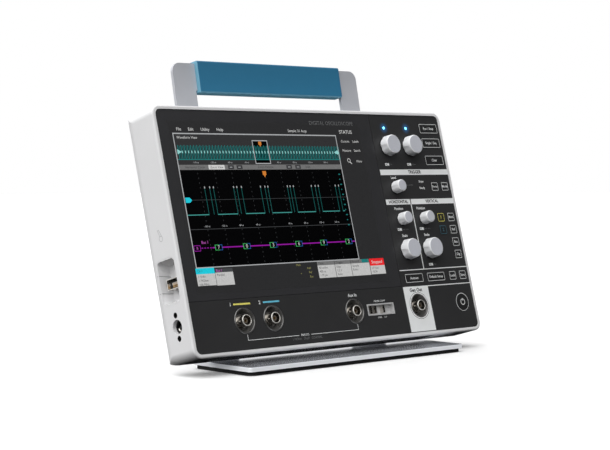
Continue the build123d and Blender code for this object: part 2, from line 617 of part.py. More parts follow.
# ---- handle frame: one flat sheet with two arms, a bar for the grip and a mounting plate -----------
BAR_BOTTOM = 27.0
PLATE_TOP, PLATE_BOTTOM, PLATE_HALF_W = -50.0, -160.0, 89.0
BEND_S, BEND_LOW_S = -120.0, -165.0
ARM_END_S = arm_pivot_s - 2.0
SCREW_HEAD_R, SCREW_HEAD_T, SCREW_R = 4.2, 2.6, 2.0
SCREW_INTO_CASE = 7.0
SPACER_W, SPACER_CORNER_R = 124.0, 10.0


def arm_outline(side):
    """Corner points of one arm of the handle frame, on ARM."""
    outer, inner = ARM_OUTER_X, ARM_OUTER_X - ARM_W
    foot_outer, foot_inner = ARM_FOOT_X + ARM_W / 2, ARM_FOOT_X - ARM_W / 2
    points = [
        (outer, BAR_BOTTOM), (outer, BEND_S), (foot_outer, BEND_LOW_S), (foot_outer, ARM_END_S),
        (foot_inner, ARM_END_S), (foot_inner, BEND_LOW_S), (inner, BEND_S), (inner, BAR_BOTTOM),
    ]
    return [(side * x, s) for x, s in points]


with BuildPart() as handle_frame:
    with BuildSketch(ARM) as frame_outline:
        with Locations((0, (ARM_TOP + BAR_BOTTOM) / 2)):
            Rectangle(2 * ARM_OUTER_X, ARM_TOP - BAR_BOTTOM)
        top_corners = frame_outline.vertices().group_by(Axis.Y)[-1]
        fillet(top_corners, ARM_CORNER_R)
        for side in (-1, 1):
            with BuildLine():
                Polyline(*arm_outline(side), close=True)
            make_face()
        with Locations((0, (PLATE_TOP + PLATE_BOTTOM) / 2)):
            Rectangle(2 * PLATE_HALF_W, PLATE_TOP - PLATE_BOTTOM)
    extrude(amount=-ARM_T)
    with BuildSketch(rear(CASE_D)):
        with GridLocations(VESA, VESA, 2, 2):
            Circle(SCREW_R + 0.6)
    extrude(amount=30, mode=Mode.SUBTRACT)
keep(handle_frame, "handle_frame")

with BuildPart() as wedge_spacer:
    with BuildSketch(face(-CASE_D)):
        RectangleRounded(SPACER_W, SPACER_W, SPACER_CORNER_R)
    extrude(amount=-30)
    split(bisect_by=ARM.offset(0.02), keep=Keep.TOP)
    with BuildSketch(rear(CASE_D)):
        with GridLocations(VESA, VESA, 2, 2):
            Circle(SCREW_R + 0.3)
    extrude(amount=30, mode=Mode.SUBTRACT)
keep(wedge_spacer, "wedge_spacer")


def depth_behind_frame(height):
    """Depth behind the panel of the handle frame's back surface, at a height on the panel."""
    below_top = CASE_H / 2 - height
    slope = math.tan(math.radians(LEAN - ARM_LEAN))
    return CASE_D + ARM_CLEAR_OF_CASE + below_top * slope + ARM_T / math.cos(math.radians(LEAN - ARM_LEAN))


with BuildPart() as bracket_screws:
    for height in (-VESA / 2, VESA / 2):
        seat = depth_behind_frame(height - SCREW_HEAD_R)
        with BuildSketch(rear(seat)):
            with Locations((-VESA / 2, height), (VESA / 2, height)):
                Circle(SCREW_HEAD_R)
        extrude(amount=SCREW_HEAD_T)
        with BuildSketch(rear(CASE_D - SCREW_INTO_CASE)):
            with Locations((-VESA / 2, height), (VESA / 2, height)):
                Circle(SCREW_R - 0.05)
        extrude(amount=seat - CASE_D + SCREW_INTO_CASE)
        with BuildSketch(rear(seat + SCREW_HEAD_T)):
            with Locations((-VESA / 2, height), (VESA / 2, height)):
                RegularPolygon(1.7, 6)
        extrude(amount=-1.5, mode=Mode.SUBTRACT)
keep(bracket_screws, "bracket_screws")

GRIP_CENTRE_S = (ARM_TOP + BAR_BOTTOM) / 2 - 0.3
with BuildPart() as grip:
    with BuildSketch(ARM.offset(GRIP_PROUD)):
        with Locations((0, GRIP_CENTRE_S)):
            Rectangle(GRIP_L, GRIP_H)
    extrude(amount=-(GRIP_PROUD + ARM_T + GRIP_BACK))
    fillet(grip.edges().filter_by(Axis.X), 1.8)
    fillet(grip.faces().filter_by(Axis.X).edges(), 0.8)
    with BuildSketch(ARM.offset(0.05)):
        with Locations((0, (ARM_TOP + BAR_BOTTOM) / 2)):
            Rectangle(GRIP_L + 2, ARM_TOP - BAR_BOTTOM + 0.1)
    extrude(amount=-(ARM_T + 0.1), mode=Mode.SUBTRACT)
keep(grip, "grip")

# ---- tilt hinges: a knuckle on each arm, turning on a pin in a block on the foot ---------------------
PLATE_TOP_Z = MAT_T + FOOT_T
BLOCK_W = KNUCKLE_W + 2 * CHEEK_W + 0.6
BLOCK_HALF_D, BLOCK_SHOULDER = 8.0, -3.5
CHEEK_R = 6.2


def pivot_plane(x):
    """Plane across the hinge axis at x, local X backwards and local Y up."""
    return Plane(origin=(x, PIVOT.Y, PIVOT.Z), x_dir=(0, 1, 0), z_dir=(1, 0, 0))


def arm_side_plane(x):
    """Plane across the hinge axis at x, local X up the arm and local Y out towards the case."""
    return Plane(origin=(x, PIVOT.Y, PIVOT.Z), x_dir=ARM_UP, z_dir=(1, 0, 0))


with BuildPart() as arm_knuckles:
    for side in (-1, 1):
        with BuildSketch(arm_side_plane(side * ARM_FOOT_X)):
            Circle(KNUCKLE_R)
            with Locations((15, 4.0)):
                Rectangle(30, 2 * (PIVOT_BEHIND_ARM - ARM_T - 4.0))
            Circle(PIN_R + RUNNING_FIT, mode=Mode.SUBTRACT)
        extrude(amount=KNUCKLE_W / 2, both=True)
keep(arm_knuckles, "arm_knuckles")

with BuildPart() as hinge_blocks:
    for side in (-1, 1):
        with BuildSketch(pivot_plane(side * ARM_FOOT_X)):
            with BuildLine():
                Polyline(
                    (-BLOCK_HALF_D, PLATE_TOP_Z - PIVOT_Z), (BLOCK_HALF_D, PLATE_TOP_Z - PIVOT_Z),
                    (BLOCK_HALF_D, BLOCK_SHOULDER), (CHEEK_R, 0), (-CHEEK_R, 0),
                    (-BLOCK_HALF_D, BLOCK_SHOULDER), close=True,
                )
            make_face()
            Circle(CHEEK_R)
            Circle(PIN_R, mode=Mode.SUBTRACT)
        extrude(amount=BLOCK_W / 2, both=True)
        with BuildSketch(pivot_plane(side * ARM_FOOT_X)):
            with Locations((0, 6)):
                Rectangle(30, 26)
        extrude(amount=KNUCKLE_W / 2 + 0.3, both=True, mode=Mode.SUBTRACT)
keep(hinge_blocks, "hinge_blocks")

with BuildPart() as hinge_pins:
    for side in (-1, 1):
        with BuildSketch(pivot_plane(side * ARM_FOOT_X)):
            Circle(PIN_R)
        extrude(amount=BLOCK_W / 2 - 0.4, both=True)
keep(hinge_pins, "hinge_pins")


# ---- foot: aluminium plate on a black rubber mat -------------------------------------------------
def foot_outline(inset, corner_r):
    """Draw the foot's outline: a wide front with rounded corners and a narrower tail."""
    RectangleRounded(FOOT_W - 2 * inset, FOOT_D - 2 * inset, corner_r)
    with Locations((0, FOOT_TAIL_Y / 2)):
        RectangleRounded(FOOT_TAIL_W - 2 * inset, FOOT_TAIL_Y - 2 * inset, FOOT_TAIL_CORNER_R - inset)


with BuildPart() as base_mat:
    with BuildSketch(Plane.XY):
        foot_outline(MAT_INSET, MAT_CORNER_R)
    extrude(amount=MAT_T)
keep(base_mat, "base_mat")

with BuildPart() as base_plate:
    with BuildSketch(Plane.XY.offset(MAT_T)):
        foot_outline(0, FOOT_CORNER_R)
    extrude(amount=FOOT_T)
    fillet(base_plate.faces().sort_by(Axis.Z)[-1].edges(), 0.6)
keep(base_plate, "base_plate")

# ---- write every sub-part --------------------------------------------------------------------------
os.makedirs("parts", exist_ok=True)
for part in parts:
    export_step(part, f"parts/{part.label}.step")
print(f"{len(parts)} sub-parts, pivot at y {PIVOT.Y:.3f} z {PIVOT.Z:.3f}")
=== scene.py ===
"""Looks of a bench oscilloscope on its tilting foot: finishes, printed panel, live screen, light and camera.

Lengths are metres in the CAD frame. What is printed on a flat surface is drawn in millimetres on that
surface's own axes, X to the right and Y up as the surface is read.
"""

import json
import math

import bmesh
import bpy
from mathutils import Matrix, Vector


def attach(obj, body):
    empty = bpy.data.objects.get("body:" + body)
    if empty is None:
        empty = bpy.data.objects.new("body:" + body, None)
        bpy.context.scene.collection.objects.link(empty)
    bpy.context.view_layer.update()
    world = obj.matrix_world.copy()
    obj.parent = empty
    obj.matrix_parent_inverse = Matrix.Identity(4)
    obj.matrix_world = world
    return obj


MM = 0.001

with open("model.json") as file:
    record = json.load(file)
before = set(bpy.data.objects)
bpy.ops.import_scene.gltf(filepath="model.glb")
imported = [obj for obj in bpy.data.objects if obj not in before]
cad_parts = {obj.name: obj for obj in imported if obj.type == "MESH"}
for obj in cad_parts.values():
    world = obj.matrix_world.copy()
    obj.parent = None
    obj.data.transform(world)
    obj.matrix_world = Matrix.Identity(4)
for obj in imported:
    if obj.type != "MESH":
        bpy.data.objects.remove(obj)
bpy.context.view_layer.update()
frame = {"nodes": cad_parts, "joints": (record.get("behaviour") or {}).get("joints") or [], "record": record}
nodes = frame["nodes"]
body_of = {n: body for body, members in frame["record"]["behaviour"]["bodies"].items() for n in members}
joint_axis = {j["name"]: Vector(j["axis"]) for j in frame["joints"]}


# ---- surfaces of the object that carry print -----------------------------------------------------
class Surface:
    """A flat surface with its own millimetre axes: right, up and out."""

    def __init__(self, origin, right, up):
        self.origin = origin
        self.right = right
        self.up = up
        self.out = right.cross(up)

    def at(self, x, y, height=0.0):
        """The point in the CAD frame at x, y on the surface and a height above it."""
        return self.origin + (self.right * x + self.up * y + self.out * height) * MM

    def reach(self, node, axis):
        """Lowest and highest millimetre of a CAD node along one of this surface's axes."""
        along = [(v.co - self.origin).dot(axis) / MM for v in nodes[node].data.vertices]
        return min(along), max(along)

    def box(self, node):
        """Left, right, bottom and top of a CAD node, on this surface."""
        return (*self.reach(node, self.right), *self.reach(node, self.up))

    def centre(self, node):
        """Middle of a CAD node, on this surface."""
        left, right, bottom, top = self.box(node)
        return (left + right) / 2, (bottom + top) / 2

    def height(self, node):
        """How far a CAD node stands out of this surface."""
        return self.reach(node, self.out)[1]

    def shifted(self, x, y, height=0.0):
        """The same axes with the origin moved."""
        return Surface(self.at(x, y, height), self.right, self.up)


def middle_of(node, axis):
    """Middle of a CAD node along an axis through the CAD origin, and its highest point, in metres."""
    along = [v.co.dot(axis) for v in nodes[node].data.vertices]
    return (min(along) + max(along)) / 2, max(along)


RIGHT = Vector((1, 0, 0))
OUT = joint_axis["a_turn"]
UP = OUT.cross(RIGHT)
PANEL = Surface(
    UP * middle_of("front_panel", UP)[0] + OUT * middle_of("front_panel", OUT)[1], RIGHT, UP
)
KEYS = sorted(n for n in nodes if n.endswith("_button"))


# ---- procedural finishes -------------------------------------------------------------------------
def srgb(red, green, blue):
    """Linear colour, with alpha, of a screen colour from 0 to 255."""
    linear = [((c / 255 + 0.055) / 1.055) ** 2.4 if c > 10 else c / 3295 for c in (red, green, blue)]
    return (*linear, 1)


def scaled(colour, factor):
    """The same colour, lighter or darker."""
    return tuple(c * factor for c in colour[:3]) + (1,)


class Graph:
    """A material's node tree, with short ways to add the textures used here."""

    def __init__(self, name):
        self.material = bpy.data.materials.new(name)
        self.material.use_nodes = True
        self.tree = self.material.node_tree
        self.shader = self.tree.nodes["Principled BSDF"]
        self.place = self.node("ShaderNodeTexCoord").outputs["Object"]

    def node(self, kind, **settings):
        made = self.tree.nodes.new(kind)
        for key, value in settings.items():
            setattr(made, key, value)
        return made

    def link(self, source, target):
        self.tree.links.new(source, target)

    def noise(self, size, detail=3.0, stretch=(1, 1, 1)):
        """Noise whose blotches are about size metres across, drawn out by stretch."""
        mapping = self.node("ShaderNodeMapping")
        mapping.inputs["Scale"].default_value = stretch
        self.link(self.place, mapping.inputs["Vector"])
        texture = self.node("ShaderNodeTexNoise")
        texture.inputs["Scale"].default_value = 1 / size
        texture.inputs["Detail"].default_value = detail
        self.link(mapping.outputs["Vector"], texture.inputs["Vector"])
        return texture.outputs["Fac"]

    def ranged(self, value, low, high, start=0.3, end=0.7):
        """A value from start to end, stretched to run from low to high."""
        made = self.node("ShaderNodeMapRange")
        made.inputs["From Min"].default_value = start
        made.inputs["From Max"].default_value = end
        made.inputs["To Min"].default_value = low
        made.inputs["To Max"].default_value = high
        self.link(value, made.inputs["Value"])
        return made.outputs["Result"]

    def mixed(self, value, first, second):
        """A colour between two, where value goes from 0 to 1. Either may be a socket."""
        made = self.node("ShaderNodeMix", data_type="RGBA")
        self.link(value, made.inputs["Factor"])
        for name, colour in (("A", first), ("B", second)):
            socket = [s for s in made.inputs if s.name == name and s.type == "RGBA"][0]
            if isinstance(colour, tuple):
                socket.default_value = colour
            else:
                self.link(colour, socket)
        return [s for s in made.outputs if s.type == "RGBA"][0]

    def set(self, **values):
        """Set shader sockets; underscores in a name stand for spaces."""
        for key, value in values.items():
            self.shader.inputs[key.replace("_", " ")].default_value = value

    def relief(self, height, distance):
        """Raise the surface by height, over a distance in metres."""
        bump = self.node("ShaderNodeBump")
        bump.inputs["Distance"].default_value = distance
        bump.inputs["Strength"].default_value = 1.0
        self.link(height, bump.inputs["Height"])
        self.link(bump.outputs["Normal"], self.shader.inputs["Normal"])


def finish(name, colour, roughness, vary=0.06, patch=0.03, uneven=0.08, grain=0.0005, relief=0.00002,
           stretch=(1, 1, 1), **sockets):
    """A finish with slow colour changes, uneven gloss and a fine grain in relief."""
    graph = Graph(name)
    slow = graph.ranged(graph.noise(patch), 0, 1)
    graph.link(graph.mixed(slow, colour, scaled(colour, 1 - vary)), graph.shader.inputs["Base Color"])
    gloss = graph.ranged(graph.noise(patch / 3, 5, stretch), roughness - uneven / 2, roughness + uneven / 2)
    graph.link(gloss, graph.shader.inputs["Roughness"])
    graph.relief(graph.noise(grain, 2, stretch), relief)
    graph.set(**sockets)
    return graph.material


def lit(name, colour, strength=1.0, specular=0.25):
    """Light from the screen behind the glass, with a fine unevenness, under the glass's own gloss."""
    graph = Graph(name)
    fine = graph.ranged(graph.noise(0.0009, 1), 0, 1)
    glow = graph.mixed(fine, colour, scaled(colour, 0.82))
    graph.link(glow, graph.shader.inputs["Emission Color"])
    graph.link(graph.mixed(fine, srgb(6, 6, 7), srgb(3, 3, 4)), graph.shader.inputs["Base Color"])
    graph.set(Emission_Strength=strength, Roughness=0.3, Specular_IOR_Level=specular)
    return graph.material


def facing(graph, direction, start, end):
    """0 to 1 as the surface, in the object's own space, turns to face a direction."""
    along = graph.node("ShaderNodeVectorMath", operation="DOT_PRODUCT")
    graph.link(graph.node("ShaderNodeTexCoord").outputs["Normal"], along.inputs[0])
    along.inputs[1].default_value = direction
    return graph.ranged(along.outputs["Value"], 0, 1, start, end)


def machined(name, top, edge, roughness):
    """Polished sheet whose top mirrors what stands over it, with paler satin edges and a painted glow,
    strongest on the edges, that stands for light off the white floor.
    """
    graph = Graph(name)
    upward = facing(graph, (0, 0, 1), 0.45, 0.95)
    graph.link(graph.ranged(upward, 0, 0.72, 0, 1), graph.shader.inputs["Metallic"])
    slow = graph.ranged(graph.noise(0.02), 0, 1)
    face = graph.mixed(slow, top, scaled(top, 0.95))
    rim = graph.mixed(slow, edge, scaled(edge, 0.97))
    graph.link(graph.mixed(upward, rim, face), graph.shader.inputs["Base Color"])
    brushed = graph.noise(0.004, 4, (1, 12, 1))
    graph.link(graph.ranged(brushed, roughness - 0.03, roughness + 0.04), graph.shader.inputs["Roughness"])
    graph.relief(graph.noise(0.0006, 2, (1, 10, 1)), 0.000004)
    painted_edge_glow, painted_top_glow = srgb(112, 114, 118), srgb(20, 20, 21)      # stands for light off the white floor
    graph.link(graph.mixed(upward, painted_edge_glow, painted_top_glow), graph.shader.inputs["Emission Color"])
    graph.set(Emission_Strength=1.0)
    return graph.material


def painted_light_by_facing(name, toward, away, direction, start, end, grain=0.0005, relief=0.00002):
    """Satin plastic in painted light and shade: one colour where it faces a direction and another elsewhere.
    """
    graph = Graph(name)
    turned_there = facing(graph, tuple(direction), start, end)
    slow = graph.ranged(graph.noise(0.01), 0, 1)
    first = graph.mixed(slow, toward, scaled(toward, 0.97))
    second = graph.mixed(slow, away, scaled(away, 0.97))
    graph.link(graph.mixed(turned_there, second, first), graph.shader.inputs["Base Color"])
    graph.link(graph.ranged(graph.noise(0.003, 5), 0.4, 0.52), graph.shader.inputs["Roughness"])
    graph.relief(graph.noise(grain, 2), relief)
    return graph.material


def halo(name, colour, panel):
    """The lamp's light fading out over the black panel round it."""
    graph = Graph(name)
    centred = graph.node("ShaderNodeVectorMath", operation="MULTIPLY_ADD")
    graph.link(graph.node("ShaderNodeTexCoord").outputs["Generated"], centred.inputs[0])
    centred.inputs[1].default_value = (2, 0, 2)
    centred.inputs[2].default_value = (-1, 0, -1)
    far = graph.node("ShaderNodeVectorMath", operation="LENGTH")
    graph.link(centred.outputs[0], far.inputs[0])
    near = graph.ranged(far.outputs["Value"], 1, 0, 0, 1)
    glow = graph.node("ShaderNodeMath", operation="POWER")
    graph.link(near, glow.inputs[0])
    glow.inputs[1].default_value = 1.6
    graph.link(graph.mixed(glow.outputs[0], (0, 0, 0, 1), colour), graph.shader.inputs["Emission Color"])
    slow = graph.ranged(graph.noise(0.03), 0, 1)
    graph.link(graph.mixed(slow, panel, scaled(panel, 0.9)), graph.shader.inputs["Base Color"])
    graph.relief(graph.noise(0.0004, 2), 0.00002)
    graph.set(Emission_Strength=1.0, Roughness=0.5, Specular_IOR_Level=0.35)
    return graph.material


SLOT_FINISHES = {
    "case_white": finish("case_white", srgb(232, 232, 233), 0.5, vary=0.03, grain=0.0006),
    "panel_black": finish("panel_black", srgb(48, 48, 49), 0.5, vary=0.1, grain=0.0004,
                          Specular_IOR_Level=0.35),
    "touch_glass": finish("touch_glass", srgb(58, 58, 60), 0.22, vary=0.06, relief=0.000002,
                          Specular_IOR_Level=0.4),
    "lcd_black": finish("lcd_black", srgb(14, 14, 16), 0.4),
    "chassis_steel": finish("chassis_steel", srgb(178, 182, 186), 0.4, stretch=(1, 12, 1), Metallic=1.0),
    "board_green": finish("board_green", srgb(22, 84, 52), 0.45, vary=0.2, patch=0.006),
    "part_black": finish("part_black", srgb(24, 24, 26), 0.5, vary=0.2),
    "lamp_blue": lit("lamp_blue", srgb(96, 190, 255), 6.0),
    "cup_grey": finish("cup_grey", srgb(136, 135, 134), 0.3, vary=0.12, patch=0.006, Metallic=0.8),
    "jack_nickel": finish("jack_nickel", srgb(206, 202, 196), 0.25, patch=0.004, Metallic=1.0),
    "insulator_white": finish("insulator_white", srgb(92, 84, 74), 0.5),
    "contact_gold": finish("contact_gold", srgb(212, 170, 96), 0.25, Metallic=1.0),
    "terminal_grey": finish("terminal_grey", srgb(206, 206, 206), 0.4, Metallic=0.2),
    "screw_steel": finish("screw_steel", srgb(120, 122, 126), 0.35, patch=0.003, Metallic=1.0),
    "hinge_black": finish("hinge_black", srgb(14, 14, 15), 0.6, vary=0.2, Specular_IOR_Level=0.3),
    "frame_aluminium": finish("frame_aluminium", srgb(196, 198, 204), 0.42, vary=0.05,
                              stretch=(1, 1, 10), Metallic=0.25),
    "foot_aluminium": machined("foot_aluminium", srgb(228, 231, 238), srgb(250, 252, 255), 0.2),
    # painted highlight: the faces turned left and down are a paler blue
    "grip_blue": painted_light_by_facing("grip_blue", srgb(112, 172, 196), srgb(42, 114, 150),
                          -(RIGHT + UP).normalized(), 0.2, 0.7, grain=0.0008, relief=0.00005),
    "mat_rubber": finish("mat_rubber", srgb(26, 26, 27), 0.75, vary=0.2, grain=0.0009, relief=0.00008),
    # painted light and shade: the fronts, facing out, darker grey; the sides near white
    "knob_grey": painted_light_by_facing("knob_grey", srgb(205, 207, 215), srgb(252, 253, 255), OUT, 0.75, 0.97),
    "key_black": finish("key_black", srgb(28, 28, 29), 0.5, vary=0.1),
}

for item in frame["record"]["subparts"]:
    mesh = nodes[item["node"]].data
    mesh.materials.clear()
    mesh.materials.append(SLOT_FINISHES[item["material_slot"]])

# finishes of the print and of the small pieces added here
PRINT_GREY = finish("print_grey", srgb(246, 248, 248), 0.5, vary=0.05, patch=0.01)
PRINT_DARK = finish("print_dark", srgb(34, 34, 36), 0.6, vary=0.1, patch=0.01)
PRINT_DIM = finish("print_dim", srgb(118, 119, 120), 0.5, vary=0.08, patch=0.01)
PRINT_WHITE = finish("print_white", srgb(255, 255, 255), 0.45, vary=0.02, patch=0.01)
PRINT_TEAL_DIM = finish("print_teal_dim", srgb(74, 118, 134), 0.5, vary=0.08, patch=0.01)
PRINT_YELLOW = finish("print_yellow", srgb(250, 240, 120), 0.5, vary=0.06, patch=0.01)
PRINT_TEAL = finish("print_teal", srgb(110, 205, 232), 0.5, vary=0.06, patch=0.01)
HALO_BLUE = halo("halo_blue", srgb(24, 96, 150), srgb(48, 48, 49))
# nickel lifted to near white: a painted highlight on the jacks' lips and the socket's mouth
NICKEL_PAINTED_HIGHLIGHT = finish("nickel_painted_highlight", srgb(250, 247, 240), 0.3, vary=0.04, patch=0.003, Metallic=0.35)
# black for painted shade, in the latch holes and in the slot marks under the case
PAINTED_SHADE_BLACK = finish("painted_shade_black", srgb(12, 12, 13), 0.7, vary=0.2, patch=0.002)
SEAM_DARK = finish("seam_dark", srgb(96, 96, 98), 0.8, vary=0.2, patch=0.004)
EMBOSS_GREY = finish("emboss_grey", srgb(196, 196, 198), 0.6, vary=0.05, patch=0.004)
SOCKET_BLACK = finish("socket_black", srgb(34, 32, 30), 0.5, vary=0.2, patch=0.002)
SPRING_GOLD = finish("spring_gold", srgb(222, 184, 128), 0.3, patch=0.002, Metallic=0.7)


# ---- flat print ----------------------------------------------------------------------------------
PRINT_HEIGHT = 0.03     # mm, each layer above the one below it


class Print:
    """Flat shapes and words on a surface, gathered into one piece."""

    def __init__(self, name, surface, layer=1, base=0.0):
        self.name = name
        self.surface = surface
        self.height = base + layer * PRINT_HEIGHT
        self.mesh = bmesh.new()

    def polygon(self, points):
        """A filled shape through points in order."""
        verts = [self.mesh.verts.new(self.surface.at(x, y, self.height)) for x, y in points]
        self.mesh.faces.new(verts)

    def block(self, left, bottom, right, top):
        """A filled rectangle."""
        self.polygon([(left, bottom), (right, bottom), (right, top), (left, top)])

    def line(self, start, end, width):
        """A straight stroke between two points."""
        dx, dy = end[0] - start[0], end[1] - start[1]
        length = math.hypot(dx, dy)
        nx, ny = -dy / length * width / 2, dx / length * width / 2
        self.polygon([
            (start[0] + nx, start[1] + ny), (start[0] - nx, start[1] - ny),
            (end[0] - nx, end[1] - ny), (end[0] + nx, end[1] + ny),
        ])

    def ring(self, inner, outer):
        """The band between two closed outlines with as many points each."""
        rows = [
            [self.mesh.verts.new(self.surface.at(x, y, self.height)) for x, y in outline]
            for outline in (inner, outer)
        ]
        count = len(inner)
        for i in range(count):
            j = (i + 1) % count
            self.mesh.faces.new([rows[0][i], rows[1][i], rows[1][j], rows[0][j]])

    def outline(self, left, bottom, right, top, radius, width):
        """A rounded rectangle drawn as a line of some width, inside its bounds."""
        self.ring(
            rounded(left + width, bottom + width, right - width, top - width, radius - width),
            rounded(left, bottom, right, top, radius),
        )

    def hoop(self, x, y, inner, outer, segments=40):
        """A round band."""
        self.ring(circle(x, y, inner, segments), circle(x, y, outer, segments))

    def block_round_hole(self, left, bottom, right, top, x, y, radius, segments=64):
        """A block with a round hole in it."""
        hole = circle(x, y, radius, segments)
        rim = []
        for px, py in hole:
            dx, dy = (px - x) / radius, (py - y) / radius
            across = (right - x) / dx if dx > 1e-6 else (left - x) / dx if dx < -1e-6 else math.inf
            up = (top - y) / dy if dy > 1e-6 else (bottom - y) / dy if dy < -1e-6 else math.inf
            reach = min(across, up)
            rim.append((x + dx * reach, y + dy * reach))
        self.ring(hole, rim)
        for corner_x, corner_y in ((left, bottom), (right, bottom), (right, top), (left, top)):
            nearest = sorted(range(segments), key=lambda i: math.dist(rim[i], (corner_x, corner_y)))[:2]
            self.polygon([(corner_x, corner_y), rim[nearest[0]], rim[nearest[1]]])

    def words(self, text, x, y, size, align="CENTER", weight=0.0):
        """Words with capitals about 0.7 of size tall, centred on y; weight thickens the strokes, in mm."""
        curve = bpy.data.curves.new("words", "FONT")
        curve.body = text
        curve.size = size * MM
        curve.align_x = align
        curve.align_y = "CENTER"
        curve.resolution_u = 3
        curve.offset = weight * MM
        source = bpy.data.objects.new("words", curve)
        flat = bpy.data.meshes.new_from_object(source)
        surface = self.surface
        to_frame = Matrix((surface.right, surface.up, surface.out)).transposed().to_4x4()
        to_frame.translation = surface.at(x, y, self.height)
        flat.transform(to_frame)
        self.mesh.from_mesh(flat)
        bpy.data.objects.remove(source)
        bpy.data.curves.remove(curve)
        bpy.data.meshes.remove(flat)

    def place(self, material, body="instrument"):
        """Make the piece and let it ride on its body."""
        mesh = bpy.data.meshes.new(self.name)
        self.mesh.to_mesh(mesh)
        self.mesh.free()
        mesh.materials.append(material)
        piece = bpy.data.objects.new(self.name, mesh)
        bpy.context.scene.collection.objects.link(piece)
        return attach(piece, body)


def turned(name, surface, x, y, outline, material, start=0, end=360, segments=36, body="instrument"):
    """A thin turned piece round a surface's out axis, from (radius, height) points, over part of a turn."""
    mesh = bmesh.new()
    whole = end - start == 360
    steps = segments if whole else segments + 1
    rows = []
    for i in range(steps):
        angle = math.radians(start + (end - start) * i / segments)
        along, up = math.cos(angle), math.sin(angle)
        rows.append([mesh.verts.new(surface.at(x + r * along, y + r * up, h)) for r, h in outline])
    for i in range(segments):
        near, far = rows[i], rows[(i + 1) % steps]
        for k in range(len(outline) - 1):
            mesh.faces.new([near[k], far[k], far[k + 1], near[k + 1]])
    bmesh.ops.remove_doubles(mesh, verts=mesh.verts, dist=1e-7)
    bmesh.ops.recalc_face_normals(mesh, faces=mesh.faces)
    data = bpy.data.meshes.new(name)
    mesh.to_mesh(data)
    mesh.free()
    data.materials.append(material)
    for polygon in data.polygons:
        polygon.use_smooth = True
    data.set_sharp_from_angle(angle=math.radians(35))
    piece = bpy.data.objects.new(name, data)
    bpy.context.scene.collection.objects.link(piece)
    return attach(piece, body)


def circle(x, y, radius, segments=40):
    """Outline of a circle, anticlockwise."""
    turns = [2 * math.pi * i / segments for i in range(segments)]
    return [(x + radius * math.cos(t), y + radius * math.sin(t)) for t in turns]


def rounded(left, bottom, right, top, radius, steps=5):
    """Outline of a rounded rectangle, anticlockwise."""
    radius = max(radius, 0.01)
    centres = [
        (right - radius, top - radius, 0), (left + radius, top - radius, 90),
        (left + radius, bottom + radius, 180), (right - radius, bottom + radius, 270),
    ]
    points = []
    for cx, cy, start in centres:
        for i in range(steps + 1):
            angle = math.radians(start + 90 * i / steps)
            points.append((cx + radius * math.cos(angle), cy + radius * math.sin(angle)))
    return points


# ---- printed panel -------------------------------------------------------------------------------
COLUMN_A = PANEL.centre("knob_a")[0]                # the two columns of knobs
COLUMN_B = PANEL.centre("knob_b")[0]
JACK_Y = PANEL.centre("jack_cups")[1]
CHANNEL_XS = (-113.1, -81.4)
AUX_X = 13.4
GENERATOR_X = 95.1
CUP_R = (PANEL.box("jack_cups")[3] - PANEL.box("jack_cups")[2]) / 2
POWER_X, POWER_Y = PANEL.centre("power_button")
PANEL_RIGHT, PANEL_BOTTOM = PANEL.box("front_panel")[1:3]
SECTION_LEFT = PANEL.box("touch_glass")[1] + 1.2    # the knob section starts right of the glass
SECTION_SPLIT = (COLUMN_A + COLUMN_B) / 2 + 1.8     # between the horizontal and the vertical group
TRIGGER_BAR = (44.4, 49.6)                          # bottom and top of the bars
GROUP_BAR = (16.5, 21.5)
KEY_RULE_Y, PATCH_TOP = -44.9, -59.7                # the rule over the lower keys, the generator's patch
RULE_W = 0.8
LINE_W = 0.4
HALO_R = 6.0

ICON_SPOTS = (
    (COLUMN_A - 4.8, 54.5), (COLUMN_B - 4.8, 54.5), (COLUMN_A - 5.0, -6.7), (COLUMN_B - 5.0, -6.7),
    (COLUMN_B - 2.1, -40.4),
)
ICON_WORDS = ("Pan", "Zoom", "Push zero", "Push zero", "Fine")
PANEL_WORDS = (
    # word, x, y, size
    ("Level", COLUMN_A, 41.8, 3.3),
    ("Position", COLUMN_A - 1, 12.6, 3.5),
    ("Position", COLUMN_B - 1, 12.6, 3.5),
    ("Scale", COLUMN_A, -12.6, 3.5),
    ("Scale", COLUMN_B, -12.6, 3.5),
    ("Aux In", AUX_X, JACK_Y + 14.0, 4.0),
    ("Slope", COLUMN_A + 35.8, 38.0, 2.9),
    ("Ready", COLUMN_A + 35.6, 31.8, 2.9),
)


def print_bezel():
    """The plain dim word over the screen."""
    word = Print("bezel_word", PANEL, base=PANEL.height("touch_glass"))
    screen = PANEL.box("lcd_module")
    word.words("DIGITAL OSCILLOSCOPE", screen[1] - 6.5, screen[3] + 0.3, 4.9, "RIGHT")
    word.place(PRINT_DIM)


print_bezel()


def print_bars(light):
    """Bars, rules, the generator's patch and the ring round the power key."""
    light.block(SECTION_LEFT, TRIGGER_BAR[0], PANEL_RIGHT, TRIGGER_BAR[1])
    light.block(SECTION_LEFT, GROUP_BAR[0], SECTION_SPLIT - 0.5, GROUP_BAR[1])
    light.block(SECTION_SPLIT + 0.5, GROUP_BAR[0], PANEL_RIGHT, GROUP_BAR[1])
    light.block(SECTION_SPLIT - 0.5, KEY_RULE_Y + 0.1, SECTION_SPLIT + 0.5, GROUP_BAR[0])
    light.block(SECTION_LEFT, KEY_RULE_Y, PANEL_RIGHT, KEY_RULE_Y + RULE_W)
    light.block(SECTION_SPLIT + 0.5, PATCH_TOP - RULE_W, PANEL_RIGHT, PATCH_TOP)
    light.block_round_hole(SECTION_LEFT, PANEL_BOTTOM + 0.6, SECTION_SPLIT + 0.4, PATCH_TOP,
                           GENERATOR_X, JACK_Y, CUP_R)
    light.hoop(POWER_X, POWER_Y, 7.95, 8.4)


